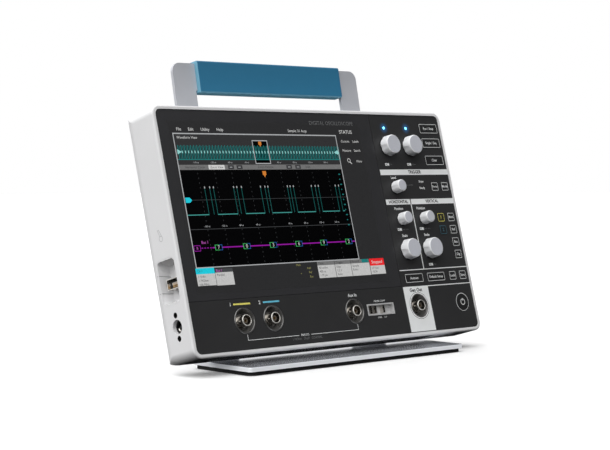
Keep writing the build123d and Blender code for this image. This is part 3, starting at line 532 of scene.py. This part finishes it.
def print_inputs(light, dim):
    """The bracket under the input jacks, with its words, and the words round the probe terminals."""
    low = JACK_Y - 16.4
    middle = (CHANNEL_XS[0] + AUX_X) / 2
    for x in (CHANNEL_XS[0], AUX_X):
        light.line((x, JACK_Y - 11.6), (x, low), LINE_W)
    light.line((CHANNEL_XS[0], low), (middle - 7, low), LINE_W)
    light.line((middle + 7, low), (AUX_X, low), LINE_W)
    light.words("INPUTS", middle, low, 2.7)
    dim.words("1 MOhm   20 pF   COAXIAL", middle + 2, low - 3.0, 2.9)
    left, right, bottom, top = PANEL.box("probe_comp_block")
    light.words("PROBE COMP", (left + right) / 2, top + 2.2, 2.3)
    light.words("GND     5 V", (left + right) / 2, bottom - 2.2, 2.3)


def print_panel():
    """The light, dim and dark print of the black panel."""
    light = Print("panel_print", PANEL)
    dim = Print("panel_print_dim", PANEL)
    dark = Print("panel_print_dark", PANEL, 2)
    print_bars(light)
    print_inputs(light, dim)
    for text, x, y, size in PANEL_WORDS:
        light.words(text, x, y, size, weight=0.06)
    for index, x in enumerate(CHANNEL_XS):
        light.words(str(index + 1), x - 12.7, JACK_Y + 14.0, 4.2, weight=0.05)
    for (x, y), text in zip(ICON_SPOTS, ICON_WORDS):
        light.outline(x - 2.6, y - 1.2, x - 0.2, y + 1.2, 0.3, 0.7)
        light.block(x + 0.2, y - 1.2, x + 2.6, y + 1.2)
        dim.words(text, x + 3.6, y, 2.0, "LEFT")
    dim.words("Push to set 50%", COLUMN_A + 17.8, 34.7, 1.9)
    dark.words("TRIGGER", (SECTION_LEFT + PANEL_RIGHT) / 2, sum(TRIGGER_BAR) / 2, 4.2, weight=0.14)
    dark.words("HORIZONTAL", (SECTION_LEFT + SECTION_SPLIT) / 2, sum(GROUP_BAR) / 2, 3.9, weight=0.12)
    dark.words("VERTICAL", (SECTION_SPLIT + PANEL_RIGHT) / 2 - 0.5, sum(GROUP_BAR) / 2, 3.9, weight=0.12)
    dark.words("Gen Out", (SECTION_LEFT + SECTION_SPLIT) / 2, -63.2, 4.4, weight=0.14)
    dark.hoop(GENERATOR_X, JACK_Y, 12.0, 12.35)
    light.place(PRINT_GREY)
    dim.place(PRINT_DIM)
    dark.place(PRINT_DARK)


def print_colours():
    """The two channels' coloured bars, the generator's white ring and the glow round the lamps."""
    for index, (left, right, material) in enumerate(((9.6, 8.7, PRINT_YELLOW), (9.0, 9.4, PRINT_TEAL))):
        x = CHANNEL_XS[index]
        bar = Print(f"channel_{index + 1}_bar", PANEL)
        bar.block(x - left, JACK_Y + 13.3, x + right, JACK_Y + 14.7)
        bar.place(material)
    ring = Print("generator_ring", PANEL, 3)
    ring.hoop(GENERATOR_X, JACK_Y, CUP_R + 0.05, CUP_R + 0.95, 64)
    ring.place(PRINT_WHITE)
    left, right, bottom, top = PANEL.box("light_guides")
    lamp_r = (top - bottom) / 2
    for index, x in enumerate((left + lamp_r, right - lamp_r)):
        glow = Print(f"lamp_halo_{index + 1}", PANEL)
        glow.hoop(x, (bottom + top) / 2, lamp_r + 0.1, HALO_R)
        glow.place(HALO_BLUE)


print_panel()
print_colours()


# ---- side of the case: latch holes, power jack, socket and seams ---------------------------------
SIDE = Surface(PANEL.origin + RIGHT * nodes["housing"].bound_box[0][0], OUT, UP)
JACK_DEPTH, JACK_HEIGHT = SIDE.centre("dc_jack")
LATCH_SPACING, LATCH_R, LATCH_DEPTH = 19.0, 2.45, 6.0
SHADE_GAP = 0.03                                    # between the painted shade cup and the hole's wall
SOCKET_Y = SIDE.centre("port_shell")[1]
SOCKET_MOUTH = SIDE.height("port_shell")
CONTACTS = 8
# painted shade under the case, drawn as rows of black slot marks
SHADE_SLOTS, SHADE_SLOT_LEFT, SHADE_SLOT_PITCH = 70, -150.0, 3.75
LIP_OUTLINE = ((4.12, 2.2), (4.12, 2.75), (4.3, 2.98), (4.55, 2.98), (4.78, 2.72), (4.84, 2.2))
SPRING_OUTLINE = ((4.3, -4.4), (3.7, -5.0), (3.6, -9.0), (4.2, -10.5))


def dress_jacks():
    """The rolled lip of every jack's barrel, in near-white nickel with a painted highlight."""
    for index, x in enumerate((*CHANNEL_XS, AUX_X, GENERATOR_X)):
        turned(f"jack_lip_{index + 1}", PANEL, x, JACK_Y, LIP_OUTLINE, NICKEL_PAINTED_HIGHLIGHT)


dress_jacks()


def dress_side():
    """Painted shade in the latch holes, the power jack's spring, the seams of the recess and the embossed
    lock mark.
    """
    # painted shade: a black cup just inside each latch hole
    shade_r, shade_end = LATCH_R - SHADE_GAP, SHADE_GAP - LATCH_DEPTH
    shade_cup = ((shade_r, -0.25), (shade_r, shade_end), (0.001, shade_end))
    for index, step in enumerate((-1, 1)):
        y = JACK_HEIGHT + step * LATCH_SPACING / 2
        turned(f"latch_hole_shade_{index + 1}", SIDE, JACK_DEPTH, y, shade_cup, PAINTED_SHADE_BLACK)
    turned("power_spring", SIDE, JACK_DEPTH, JACK_HEIGHT, SPRING_OUTLINE, SLOT_FINISHES["jack_nickel"],
           start=190, end=300)
    block = SIDE.box("side_port_block")
    wall = Surface(SIDE.at(block[0] + 1.15, 0), RIGHT, UP)
    seams = Print("recess_seams", wall)
    seams.line((0.3, -31.6), (12.0, -32.6), 0.35)
    seams.line((0.3, -46.0), (12.0, -46.6), 0.35)
    seams.place(SEAM_DARK)
    mark = Print("lock_mark", SIDE)
    mark.hoop(-16.0, -3.0, 1.9, 2.5)
    mark.line((-17.0, -1.0), (-18.8, 4.2), 0.6)
    mark.line((-14.6, -1.2), (-17.4, 4.6), 0.6)
    mark.line((-18.8, 4.2), (-17.4, 4.6), 0.6)
    mark.place(EMBOSS_GREY)
    edge = Print("side_seams", SIDE)
    edge.line((block[0] - 1.2, -31.4), (block[0], -31.6), 0.3)
    edge.line((block[0] - 1.2, -45.8), (block[0], -46.0), 0.3)
    edge.place(SEAM_DARK)


dress_side()


def dress_socket():
    """The mouth with a painted highlight round it, pale tongue and gold contacts of the side socket."""
    left, right, bottom, top = SIDE.box("port_shell")
    # painted highlight: a near-white band round the socket's mouth
    rim = Print("socket_rim", SIDE, base=SOCKET_MOUTH)
    rim.outline(left, bottom, right, top, 0.6, 0.55)
    rim.place(NICKEL_PAINTED_HIGHLIGHT)
    inside = SIDE.shifted(0, 0, SOCKET_MOUTH - 4.0)
    floor = Print("socket_floor", inside)
    floor.block(left + 0.7, bottom + 0.7, right - 0.7, top - 0.7)
    floor.place(SOCKET_BLACK)
    tongue = Print("socket_tongue", inside, 2)
    tongue.block(left + 2.0, SOCKET_Y - 0.4, right - 2.0, SOCKET_Y + 1.6)
    tongue.place(SLOT_FINISHES["case_white"])
    contacts = Print("socket_contacts", inside, 3)
    pitch = (right - left - 5.0) / CONTACTS
    for i in range(CONTACTS):
        x = left + 2.5 + (i + 0.5) * pitch
        contacts.line((x - 0.2, SOCKET_Y - 2.6), (x + 0.4, SOCKET_Y + 1.2), 0.7)
    contacts.place(SPRING_GOLD)


dress_socket()


def dress_underside():
    """Painted shade under the case: rows of black slot marks along the flat part of the case's bottom."""
    below = Surface(PANEL.at(0, PANEL.box("housing")[2]), RIGHT, OUT)
    slots = Print("underside_shade_slots", below)
    for far in (-14.6, -26.6):
        for i in range(SHADE_SLOTS):
            x = SHADE_SLOT_LEFT + i * SHADE_SLOT_PITCH
            slots.block(x, far, x + 0.9 * SHADE_SLOT_PITCH, far + 11.4)
    slots.place(PAINTED_SHADE_BLACK)


dress_underside()


# ---- print on the keys, which moves with them ----------------------------------------------------
KEY_WORDS = {
    "run_stop_button": "Run / Stop", "single_button": "Single / Seq", "clear_button": "Clear",
    "trigger_force_button": "Force", "trigger_mode_button": "Mode", "channel_1_button": "1",
    "channel_2_button": "2", "math_button": "Math", "reference_button": "Ref", "bus_button": "Bus",
    "digital_button": "Dig", "autoset_button": "Autoset", "default_setup_button": "Default Setup",
    "touch_lock_button": "Lock", "save_button": "Save",
}
KEY_COLOURS = {"channel_1_button": PRINT_YELLOW, "channel_2_button": PRINT_TEAL_DIM}
KEY_FLANGE = 0.8


def print_keys():
    """A light outline and a word on every key."""
    for node in KEYS:
        key = Print(node.replace("_button", "_print"), PANEL, base=PANEL.height(node))
        left, right, bottom, top = PANEL.box(node)
        x, y = (left + right) / 2, (bottom + top) / 2
        if node == "power_button":
            key.hoop(x, y, 2.3, 2.9)
            key.block(x - 0.3, y + 1.0, x + 0.3, y + 3.4)
        else:
            left, right = left + KEY_FLANGE, right - KEY_FLANGE
            bottom, top = bottom + KEY_FLANGE, top - KEY_FLANGE
            key.outline(left + 0.25, bottom + 0.25, right - 0.25, top - 0.25, 1.0, 0.4)
            word = KEY_WORDS[node]
            size = 4.4 if len(word) == 1 else min(3.3, (right - left - 1.6) / len(word) * 1.95)
            key.words(word, x, y, size, weight=0.05)
        key.place(KEY_COLOURS.get(node, PRINT_GREY), body_of[node])


print_keys()


# ---- live screen ---------------------------------------------------------------------------------
LCD = PANEL.box("lcd_module")
SCREEN = PANEL.shifted(LCD[0], LCD[2], PANEL.height("touch_glass"))
SCREEN_W, SCREEN_H = LCD[1] - LCD[0], LCD[3] - LCD[2]
VIEW_LEFT, VIEW_RIGHT = 3.8, SCREEN_W - 31.3       # the framed waveform view
VIEW_BOTTOM, VIEW_TOP = 21.4, SCREEN_H - 10.9
DIVISION = (VIEW_RIGHT - VIEW_LEFT) / 10
TOOLBAR = (103.2, 107.5)
COMB = (112.0, 124.0)

LIT_GREY = lit("lit_grey", srgb(44, 44, 45))
LIT_BLACK = lit("lit_black", srgb(0, 0, 1), 0.2, specular=0.08)
LIT_STRIP = lit("lit_strip", srgb(50, 50, 51))
LIT_BAR = lit("lit_bar", srgb(116, 116, 116))
LIT_WHITE = lit("lit_white", srgb(214, 214, 213))
LIT_CARD = lit("lit_card", srgb(198, 198, 197))
LIT_LINE = lit("lit_line", srgb(176, 178, 180))
LIT_DIM = lit("lit_dim", srgb(70, 72, 74))
LIT_TEAL = lit("lit_teal", srgb(32, 124, 122))
LIT_TEAL_BRIGHT = lit("lit_teal_bright", srgb(150, 214, 210))
LIT_TEAL_DIM = lit("lit_teal_dim", srgb(18, 44, 46))
LIT_TRACE = lit("lit_trace", srgb(70, 160, 152))
LIT_TRACE_EDGE = lit("lit_trace_edge", srgb(24, 98, 94))
LIT_BLUE = lit("lit_blue", srgb(36, 88, 150))
LIT_PINK = lit("lit_pink", srgb(196, 92, 190))
LIT_KHAKI = lit("lit_khaki", srgb(150, 146, 88))
LIT_CYAN = lit("lit_cyan", srgb(30, 206, 224))
LIT_PURPLE = lit("lit_purple", srgb(150, 24, 160))
LIT_GREEN = lit("lit_green", srgb(60, 170, 90))
LIT_ORANGE = lit("lit_orange", srgb(214, 128, 50))
LIT_RED = lit("lit_red", srgb(236, 40, 44))
LIT_INK = lit("lit_ink", srgb(60, 60, 62))


def screen_layers():
    """The bottom layers: grey surround, black view, strips and bars."""
    surround = Print("screen_surround", SCREEN, 1)
    surround.block(0, 0, SCREEN_W, SCREEN_H)
    surround.place(LIT_GREY)
    black = Print("screen_view", SCREEN, 2)
    black.block(VIEW_LEFT, VIEW_BOTTOM, VIEW_RIGHT, TOOLBAR[0])
    black.place(LIT_BLACK)
    strip = Print("screen_overview", SCREEN, 2)
    strip.block(VIEW_LEFT, TOOLBAR[1], VIEW_RIGHT, VIEW_TOP)
    strip.place(LIT_STRIP)
    bar = Print("screen_toolbar", SCREEN, 2)
    bar.block(VIEW_LEFT, TOOLBAR[0], VIEW_RIGHT, TOOLBAR[1])
    bar.place(LIT_BAR)
    border = Print("screen_frame", SCREEN, 5)
    border.block(VIEW_LEFT - 0.9, VIEW_TOP - 0.5, VIEW_RIGHT + 0.5, VIEW_TOP + 0.5)
    border.block(VIEW_LEFT - 0.9, VIEW_BOTTOM - 0.4, VIEW_RIGHT + 0.5, VIEW_BOTTOM + 0.4)
    border.block(VIEW_LEFT - 0.9, VIEW_BOTTOM, VIEW_LEFT, VIEW_TOP)
    border.block(VIEW_RIGHT - 0.4, VIEW_BOTTOM, VIEW_RIGHT + 0.4, VIEW_TOP)
    border.place(LIT_LINE)


ZOOM_BOX = (87.3, 108.1, 104.8, 129.0)      # left, bottom, right, top
COMB_LINES = 55


def time_labels(name, y):
    """Small time values under every division but the middle one."""
    labels = Print(name, SCREEN, 6)
    for i in range(1, 10):
        if i != 5:
            labels.words(f"{(i - 5) * 40} us", VIEW_LEFT + i * DIVISION, y, 2.1)
    labels.place(LIT_LINE)


def marker(piece, x, y, size):
    """A small trigger mark: a block with a point below."""
    piece.block(x - size, y, x + size, y + 1.7 * size)
    piece.polygon([(x - 0.6 * size, y), (x, y - 1.1 * size), (x + 0.6 * size, y)])


def screen_overview():
    """The strip of the whole record, with the box that marks the part shown below."""
    pitch = (VIEW_RIGHT - VIEW_LEFT) / COMB_LINES
    low, high = COMB
    middle = low + 6.5
    box = Print("overview_box", SCREEN, 3)
    box.block(*ZOOM_BOX)
    box.place(LIT_BLACK)
    dim = Print("overview_band", SCREEN, 4)
    comb = Print("overview_lines", SCREEN, 5)
    bright = Print("overview_mid", SCREEN, 6)
    for i in range(COMB_LINES):
        x = VIEW_LEFT + (i + 0.6) * pitch
        dim.block(x + 0.1 * pitch, low, x + 0.6 * pitch, high - 0.6)
        comb.block(x, low, x + 0.22 * pitch, high + 0.3)
        comb.block(x + 0.55 * pitch, low, x + 0.68 * pitch, high - 0.4)
        bright.block(x + 0.1 * pitch, middle - 1.2, x + 0.38 * pitch, middle + 1.0)
    comb.block(VIEW_LEFT, low - 0.4, VIEW_RIGHT, low + 0.3)
    dim.place(LIT_TEAL_DIM)
    comb.place(LIT_TEAL)
    for x, turn in ((VIEW_LEFT + 1.0, 1), (VIEW_RIGHT - 1.0, -1)):
        bright.polygon([(x, middle - 2.2), (x + turn * 4.6, middle), (x, middle + 2.2)][::turn])
    bright.place(LIT_TEAL_BRIGHT)
    marks = Print("overview_frame", SCREEN, 7)
    marks.outline(*ZOOM_BOX, 0.3, 0.8)
    marks.place(LIT_LINE)
    trigger = Print("trigger_marks", SCREEN, 7)
    marker(trigger, (ZOOM_BOX[0] + ZOOM_BOX[2]) / 2, 125.0, 1.7)
    marker(trigger, (ZOOM_BOX[0] + ZOOM_BOX[2]) / 2 - 1.0, 98.4, 2.0)
    trigger.place(LIT_ORANGE)
    time_labels("overview_times", 109.4)


CHIP_XS, CHIP_W = (56.0, 65.4, 121.8, 132.2), 6.4


def screen_toolbar():
    """The bar between the overview and the view: a tag, chips and small words."""
    low, high = TOOLBAR
    middle = (low + high) / 2
    tag = Print("toolbar_tag", SCREEN, 3)
    tag.block(34.9, low + 0.3, 52.3, high - 0.2)
    tag.place(LIT_WHITE)
    chips = Print("toolbar_chips", SCREEN, 3)
    for x in CHIP_XS:
        chips.block(x, low + 0.5, x + CHIP_W, high - 0.4)
    chips.place(LIT_INK)
    ink = Print("toolbar_words", SCREEN, 4)
    ink.words("Zoom View", 43.6, middle, 2.9)
    ink.words("Horizontal Zoom", 20.5, middle, 2.9)
    ink.words("Zoom Position", 98.0, middle, 2.9)
    ink.words("Scale", 147.0, middle, 2.9)
    ink.place(LIT_INK)
    signs = Print("toolbar_signs", SCREEN, 4)
    for x in CHIP_XS:
        centre = x + CHIP_W / 2
        signs.block(centre - 1.4, middle - 0.3, centre + 1.4, middle + 0.3)
    signs.place(LIT_LINE)


PULSES = (26.6, 57.8, 87.7, 118.5, 146.7, 175.6)
PULSE_EDGES = ((0, 5.4, 9.4), (0, 3.6, 8.6), (0, 5.0, 8.4), (0, 3.2, 7.0), (0, 4.6, 8.4), (0, 4.0))
PULSE_TOP, PULSE_BASE, CHANNEL_ZERO = 89.0, 65.2, 77.7


def screen_trace():
    """The pulses of the channel, their base line, the graticule and the level marks."""
    grid = Print("view_grid", SCREEN, 3)
    for i in range(1, 10):
        x = VIEW_LEFT + i * DIVISION
        for k in range(20):
            y = VIEW_BOTTOM + 2 + k * 4
            grid.block(x - 0.15, y, x + 0.15, y + 1.2)
    grid.block(VIEW_LEFT, CHANNEL_ZERO - 0.15, VIEW_RIGHT, CHANNEL_ZERO + 0.15)
    grid.block(VIEW_LEFT, 52.9, VIEW_RIGHT, 53.3)
    grid.place(LIT_DIM)
    trace = Print("view_trace", SCREEN, 4)
    edge_lines = Print("view_trace_edges", SCREEN, 4)
    caps = Print("view_trace_caps", SCREEN, 5)
    start = VIEW_LEFT
    for x, edges in zip(PULSES, PULSE_EDGES):
        trace.block(start, PULSE_BASE - 0.35, x, PULSE_BASE + 0.35)
        start = x + edges[-1]
        for dx in edges:
            edge_lines.block(x + dx - 0.25, PULSE_BASE, x + dx + 0.25, PULSE_TOP)
            caps.block(x + dx - 0.4, PULSE_TOP - 1.6, x + dx + 0.6, PULSE_TOP)
    trace.block(start, PULSE_BASE - 0.35, VIEW_RIGHT - 6, PULSE_BASE + 0.35)
    trace.place(LIT_TRACE)
    edge_lines.place(LIT_TRACE_EDGE)
    caps.place(LIT_LINE)
    cyan = Print("channel_marker", SCREEN, 6)
    cyan.polygon([
        (VIEW_LEFT + 0.6, CHANNEL_ZERO - 2.2), (VIEW_LEFT + 5.2, CHANNEL_ZERO - 2.2),
        (VIEW_LEFT + 7.4, CHANNEL_ZERO), (VIEW_LEFT + 5.2, CHANNEL_ZERO + 2.2),
        (VIEW_LEFT + 0.6, CHANNEL_ZERO + 2.2),
    ])
    cyan.place(LIT_CYAN)
    dots = Print("level_dots", SCREEN, 5)
    for i in range(11):
        y = 52.0 + i * 4.6
        dots.block(VIEW_RIGHT - 5.4, y, VIEW_RIGHT - 3.4 - 0.9 * (i % 2), y + 1.0)
    dots.place(LIT_TEAL)
    time_labels("view_times", 55.4)


BUS_Y, BUS_CHIPS = 37.5, (30.5, 60.9, 90.4, 119.8, 149.1, 179.3)


def screen_bus():
    """The decoded bus: a purple line with bracketed values."""
    line = Print("bus_line", SCREEN, 3)
    line.block(VIEW_LEFT + 20, BUS_Y - 0.5, VIEW_RIGHT, BUS_Y + 0.5)
    for i in range(4):
        line.block(VIEW_LEFT + 8.5 + i * 3, BUS_Y - 0.4, VIEW_LEFT + 10.2 + i * 3, BUS_Y + 0.4)
    line.ring(rounded(VIEW_LEFT + 1.0, BUS_Y - 2.0, VIEW_LEFT + 7.2, BUS_Y + 2.0, 0.6),
              rounded(VIEW_LEFT + 0.5, BUS_Y - 2.5, VIEW_LEFT + 7.7, BUS_Y + 2.5, 0.8))
    line.place(LIT_PURPLE)
    name = Print("bus_name", SCREEN, 6)
    name.words("Bus 1", VIEW_LEFT + 13.0, BUS_Y + 4.6, 3.4)
    name.words("B", VIEW_LEFT + 4.1, BUS_Y, 3.0)
    name.place(LIT_PINK)
    gaps = Print("bus_gaps", SCREEN, 4)
    brackets = Print("bus_brackets", SCREEN, 5)
    ends = Print("bus_ends", SCREEN, 5)
    values = Print("bus_values", SCREEN, 6)
    for index, x in enumerate(BUS_CHIPS):
        gaps.block(x - 4.0, BUS_Y - 2.4, x + 4.0, BUS_Y + 2.4)
        brackets.block(x - 4.0, BUS_Y - 2.4, x - 3.2, BUS_Y + 2.4)
        brackets.block(x - 4.0, BUS_Y + 1.9, x + 0.8, BUS_Y + 2.4)
        brackets.block(x - 4.0, BUS_Y - 2.4, x + 0.8, BUS_Y - 1.9)
        ends.block(x + 3.3, BUS_Y - 2.4, x + 4.0, BUS_Y + 2.4)
        ends.block(x + 0.8, BUS_Y + 1.9, x + 4.0, BUS_Y + 2.4)
        ends.block(x + 0.8, BUS_Y - 2.4, x + 4.0, BUS_Y - 1.9)
        values.words(str((index * 3 + 7) % 10), x, BUS_Y, 4.2)
    gaps.place(LIT_BLACK)
    brackets.place(LIT_GREEN)
    ends.place(LIT_BLUE)
    values.place(LIT_WHITE)


BADGES = (
    # left, right, header top, header bottom, body bottom, header light, header word, body words
    (2.0, 21.5, 21.0, 16.2, 6.5, "cyan", "Ch 1", ("1 V/div", "1 MOhm", "100 MHz")),
    (21.9, 40.8, 19.8, 16.8, 6.0, "purple", "Bus 1", ("Parallel",)),
    (136.4, 156.8, 21.0, 17.6, 6.5, "grey", "Time", ("40 us/div", "400 us", "1 M pts")),
    (157.3, 176.3, 21.0, 17.6, 6.5, "grey", "Trigger", ("Edge", "1.2 V", "Auto")),
    (176.8, 199.3, 21.0, 17.6, 6.5, "grey", "Record", ("Sample", "8 bits")),
    (199.9, 218.0, 21.0, 14.6, 6.8, "red", "Stopped", ("17 Nov", "10:24")),
)
RECORD_BADGE = 4                # the badge with the small coloured tag on its header
SPARE_WORDS = (("Math", 114.5, 19.0), ("+", 116.0, 11.4), ("Add", 126.0, 15.8), ("Ref", 127.0, 12.2),
               ("Bus", 127.4, 8.4))
HEADER_LIGHTS = {"cyan": LIT_CYAN, "purple": LIT_DIM, "grey": LIT_BAR, "red": LIT_RED}
HEADER_WORDS = {"cyan": LIT_INK, "purple": LIT_PINK, "grey": LIT_INK, "red": LIT_WHITE}


def screen_badges():
    """The settings badges along the bottom."""
    bodies = Print("badge_bodies", SCREEN, 3)
    ink = Print("badge_ink", SCREEN, 4)
    for index, (left, right, top, split, bottom, header, title, rows) in enumerate(BADGES):
        bodies.block(left, bottom, right, split)
        head = Print(f"badge_header_{index + 1}", SCREEN, 3)
        head.block(left, split, right, top)
        head.place(HEADER_LIGHTS[header])
        word = Print(f"badge_title_{index + 1}", SCREEN, 4)
        if header == "red":
            word.words(title, (left + right) / 2, (split + top) / 2, 4.0)
        else:
            word.words(title, left + 1.2, (split + top) / 2, 3.0, "LEFT")
        word.place(HEADER_WORDS[header])
        for row, text in enumerate(rows):
            ink.words(text, left + 1.4, split - 2.2 - row * 3.3, 2.8, "LEFT")
    bodies.place(LIT_CARD)
    ink.place(LIT_INK)
    tag = Print("badge_tag", SCREEN, 4)
    _, right, top, split = BADGES[RECORD_BADGE][:4]
    tag.block(right - 9.0, split + 0.3, right - 1.0, top)
    tag.place(LIT_TEAL)
    spare = Print("spare_words", SCREEN, 4)
    for text, x, y in SPARE_WORDS:
        spare.words(text, x, y, 2.6)
    spare.place(LIT_KHAKI)


MENU = (("File", 7.6), ("Edit", 20.0), ("Utility", 33.5), ("Help", 50.6))
SOFT_KEYS = (("Cursors", 198.4, 128.8), ("Labels", 211.4, 128.8), ("Measure", 198.4, 120.3),
             ("Search", 211.4, 120.3), ("More", 211.4, 110.3))


def screen_words():
    """Menu, title and soft-key words."""
    words = Print("screen_words", SCREEN, 6)
    menu_y = SCREEN_H - 7.2
    for word, x in MENU:
        words.words(word, x, menu_y, 3.8, "LEFT")
    words.words("Sample: 31 Acqs", 131, menu_y, 3.4, "LEFT")
    words.words("Waveform View", VIEW_LEFT + 2.5, VIEW_TOP - 3.4, 3.3, "LEFT")
    for word, x, y in SOFT_KEYS:
        words.words(word, x, y, 3.1)
    words.words("STATUS", 201.0, menu_y - 0.4, 4.6)
    words.hoop(198.6, 111.2, 1.4, 1.9)
    words.line((199.8, 109.9), (201.6, 108.0), 0.7)
    words.place(LIT_WHITE)


screen_layers()
screen_overview()
screen_toolbar()
screen_trace()
screen_bus()
screen_badges()
screen_words()


# ---- studio --------------------------------------------------------------------------------------
KEY_FROM = Vector((-0.68, -0.2, 0.70)).normalized()     # the soft key is up on the left
KEY_LEVEL, KEY_REACH = 0.05, 2.25                       # its level at the side, and what its middle adds
BACKDROP_LEVEL = 0.9                                    # the white wall behind the object
FLOOR_HALF, FLOOR_Z = 6.0, -0.0002
FLOOR_LIFT = 0.03


def make_floor():
    """A wide pale floor under the object, which throws no light back up at it."""
    half = FLOOR_HALF
    mesh = bpy.data.meshes.new("floor")
    corners = [(-half, -half, 0), (half, -half, 0), (half, half, 0), (-half, half, 0)]
    mesh.from_pydata(corners, [], [(0, 1, 2, 3)])
    floor = bpy.data.objects.new("floor", mesh)
    bpy.context.scene.collection.objects.link(floor)
    floor.location.z = FLOOR_Z
    floor.visible_diffuse = False
    floor.visible_glossy = False
    mesh.materials.append(finish(
        "floor", srgb(250, 250, 250), 0.9, vary=0.01, patch=0.5, Specular_IOR_Level=0.1,
        Emission_Color=(1, 1, 1, 1), Emission_Strength=FLOOR_LIFT,
    ))


def make_light():
    """A soft studio: key from the upper left, white wall behind, dark room in front and below."""
    world = bpy.data.worlds.new("studio")
    bpy.context.scene.world = world
    world.use_nodes = True
    tree = world.node_tree
    tree.nodes.clear()

    def node(kind, **settings):
        made = tree.nodes.new(kind)
        for key, value in settings.items():
            setattr(made, key, value)
        return made

    def ramp(value, start, end, low, high):
        made = node("ShaderNodeMapRange")
        for index, number in enumerate((start, end, low, high)):
            made.inputs[index + 1].default_value = number
        tree.links.new(value, made.inputs[0])
        return made.outputs[0]

    def joined(operation, first, second):
        made = node("ShaderNodeMath", operation=operation)
        tree.links.new(first, made.inputs[0])
        tree.links.new(second, made.inputs[1])
        return made.outputs[0]

    direction = node("ShaderNodeTexCoord").outputs["Generated"]
    across = node("ShaderNodeVectorMath", operation="DOT_PRODUCT")
    across.inputs[1].default_value = KEY_FROM
    tree.links.new(direction, across.inputs[0])
    split = node("ShaderNodeSeparateXYZ")
    tree.links.new(direction, split.inputs[0])
    key = ramp(across.outputs["Value"], -KEY_LEVEL / KEY_REACH, 1, 0, KEY_LEVEL + KEY_REACH)
    wall = ramp(split.outputs["Y"], 0.1, 0.6, 0, BACKDROP_LEVEL)
    key_above = ramp(split.outputs["Z"], 0, 0.3, 0, 1)
    wall_above = ramp(split.outputs["Z"], -0.02, 0.02, 0, 1)
    lit_room = joined("ADD", joined("MULTIPLY", key, key_above), joined("MULTIPLY", wall, wall_above))
    room = node("ShaderNodeBackground")
    tree.links.new(lit_room, room.inputs["Strength"])
    white = node("ShaderNodeBackground")
    seen = node("ShaderNodeLightPath")
    choice = node("ShaderNodeMixShader")
    tree.links.new(seen.outputs["Is Camera Ray"], choice.inputs["Fac"])
    tree.links.new(room.outputs[0], choice.inputs[1])
    tree.links.new(white.outputs[0], choice.inputs[2])
    for shader in (room, white):
        shader.inputs["Color"].default_value = (1, 1, 1, 1)
    output = node("ShaderNodeOutputWorld")
    tree.links.new(choice.outputs[0], output.inputs["Surface"])


CAMERA_FROM_PANEL = Vector((-0.9962, -1.0401, 0.0560))  # metres from the panel's middle
CAMERA_LOOKS = Vector((0.6813, 0.7310, -0.0389))
CAMERA_LENS = 97.68


def make_camera():
    """A long lens on the left of the instrument, a little above its middle."""
    camera = bpy.data.objects.new("camera", bpy.data.cameras.new("camera"))
    bpy.context.scene.collection.objects.link(camera)
    camera.location = PANEL.origin + CAMERA_FROM_PANEL
    camera.rotation_euler = CAMERA_LOOKS.to_track_quat("-Z", "Y").to_euler()
    camera.data.sensor_width = 36.0
    camera.data.lens = CAMERA_LENS
    camera.data.clip_end = 50.0
    bpy.context.scene.camera = camera


make_floor()
make_light()
make_camera()
bpy.context.scene.view_settings.view_transform = "Standard"
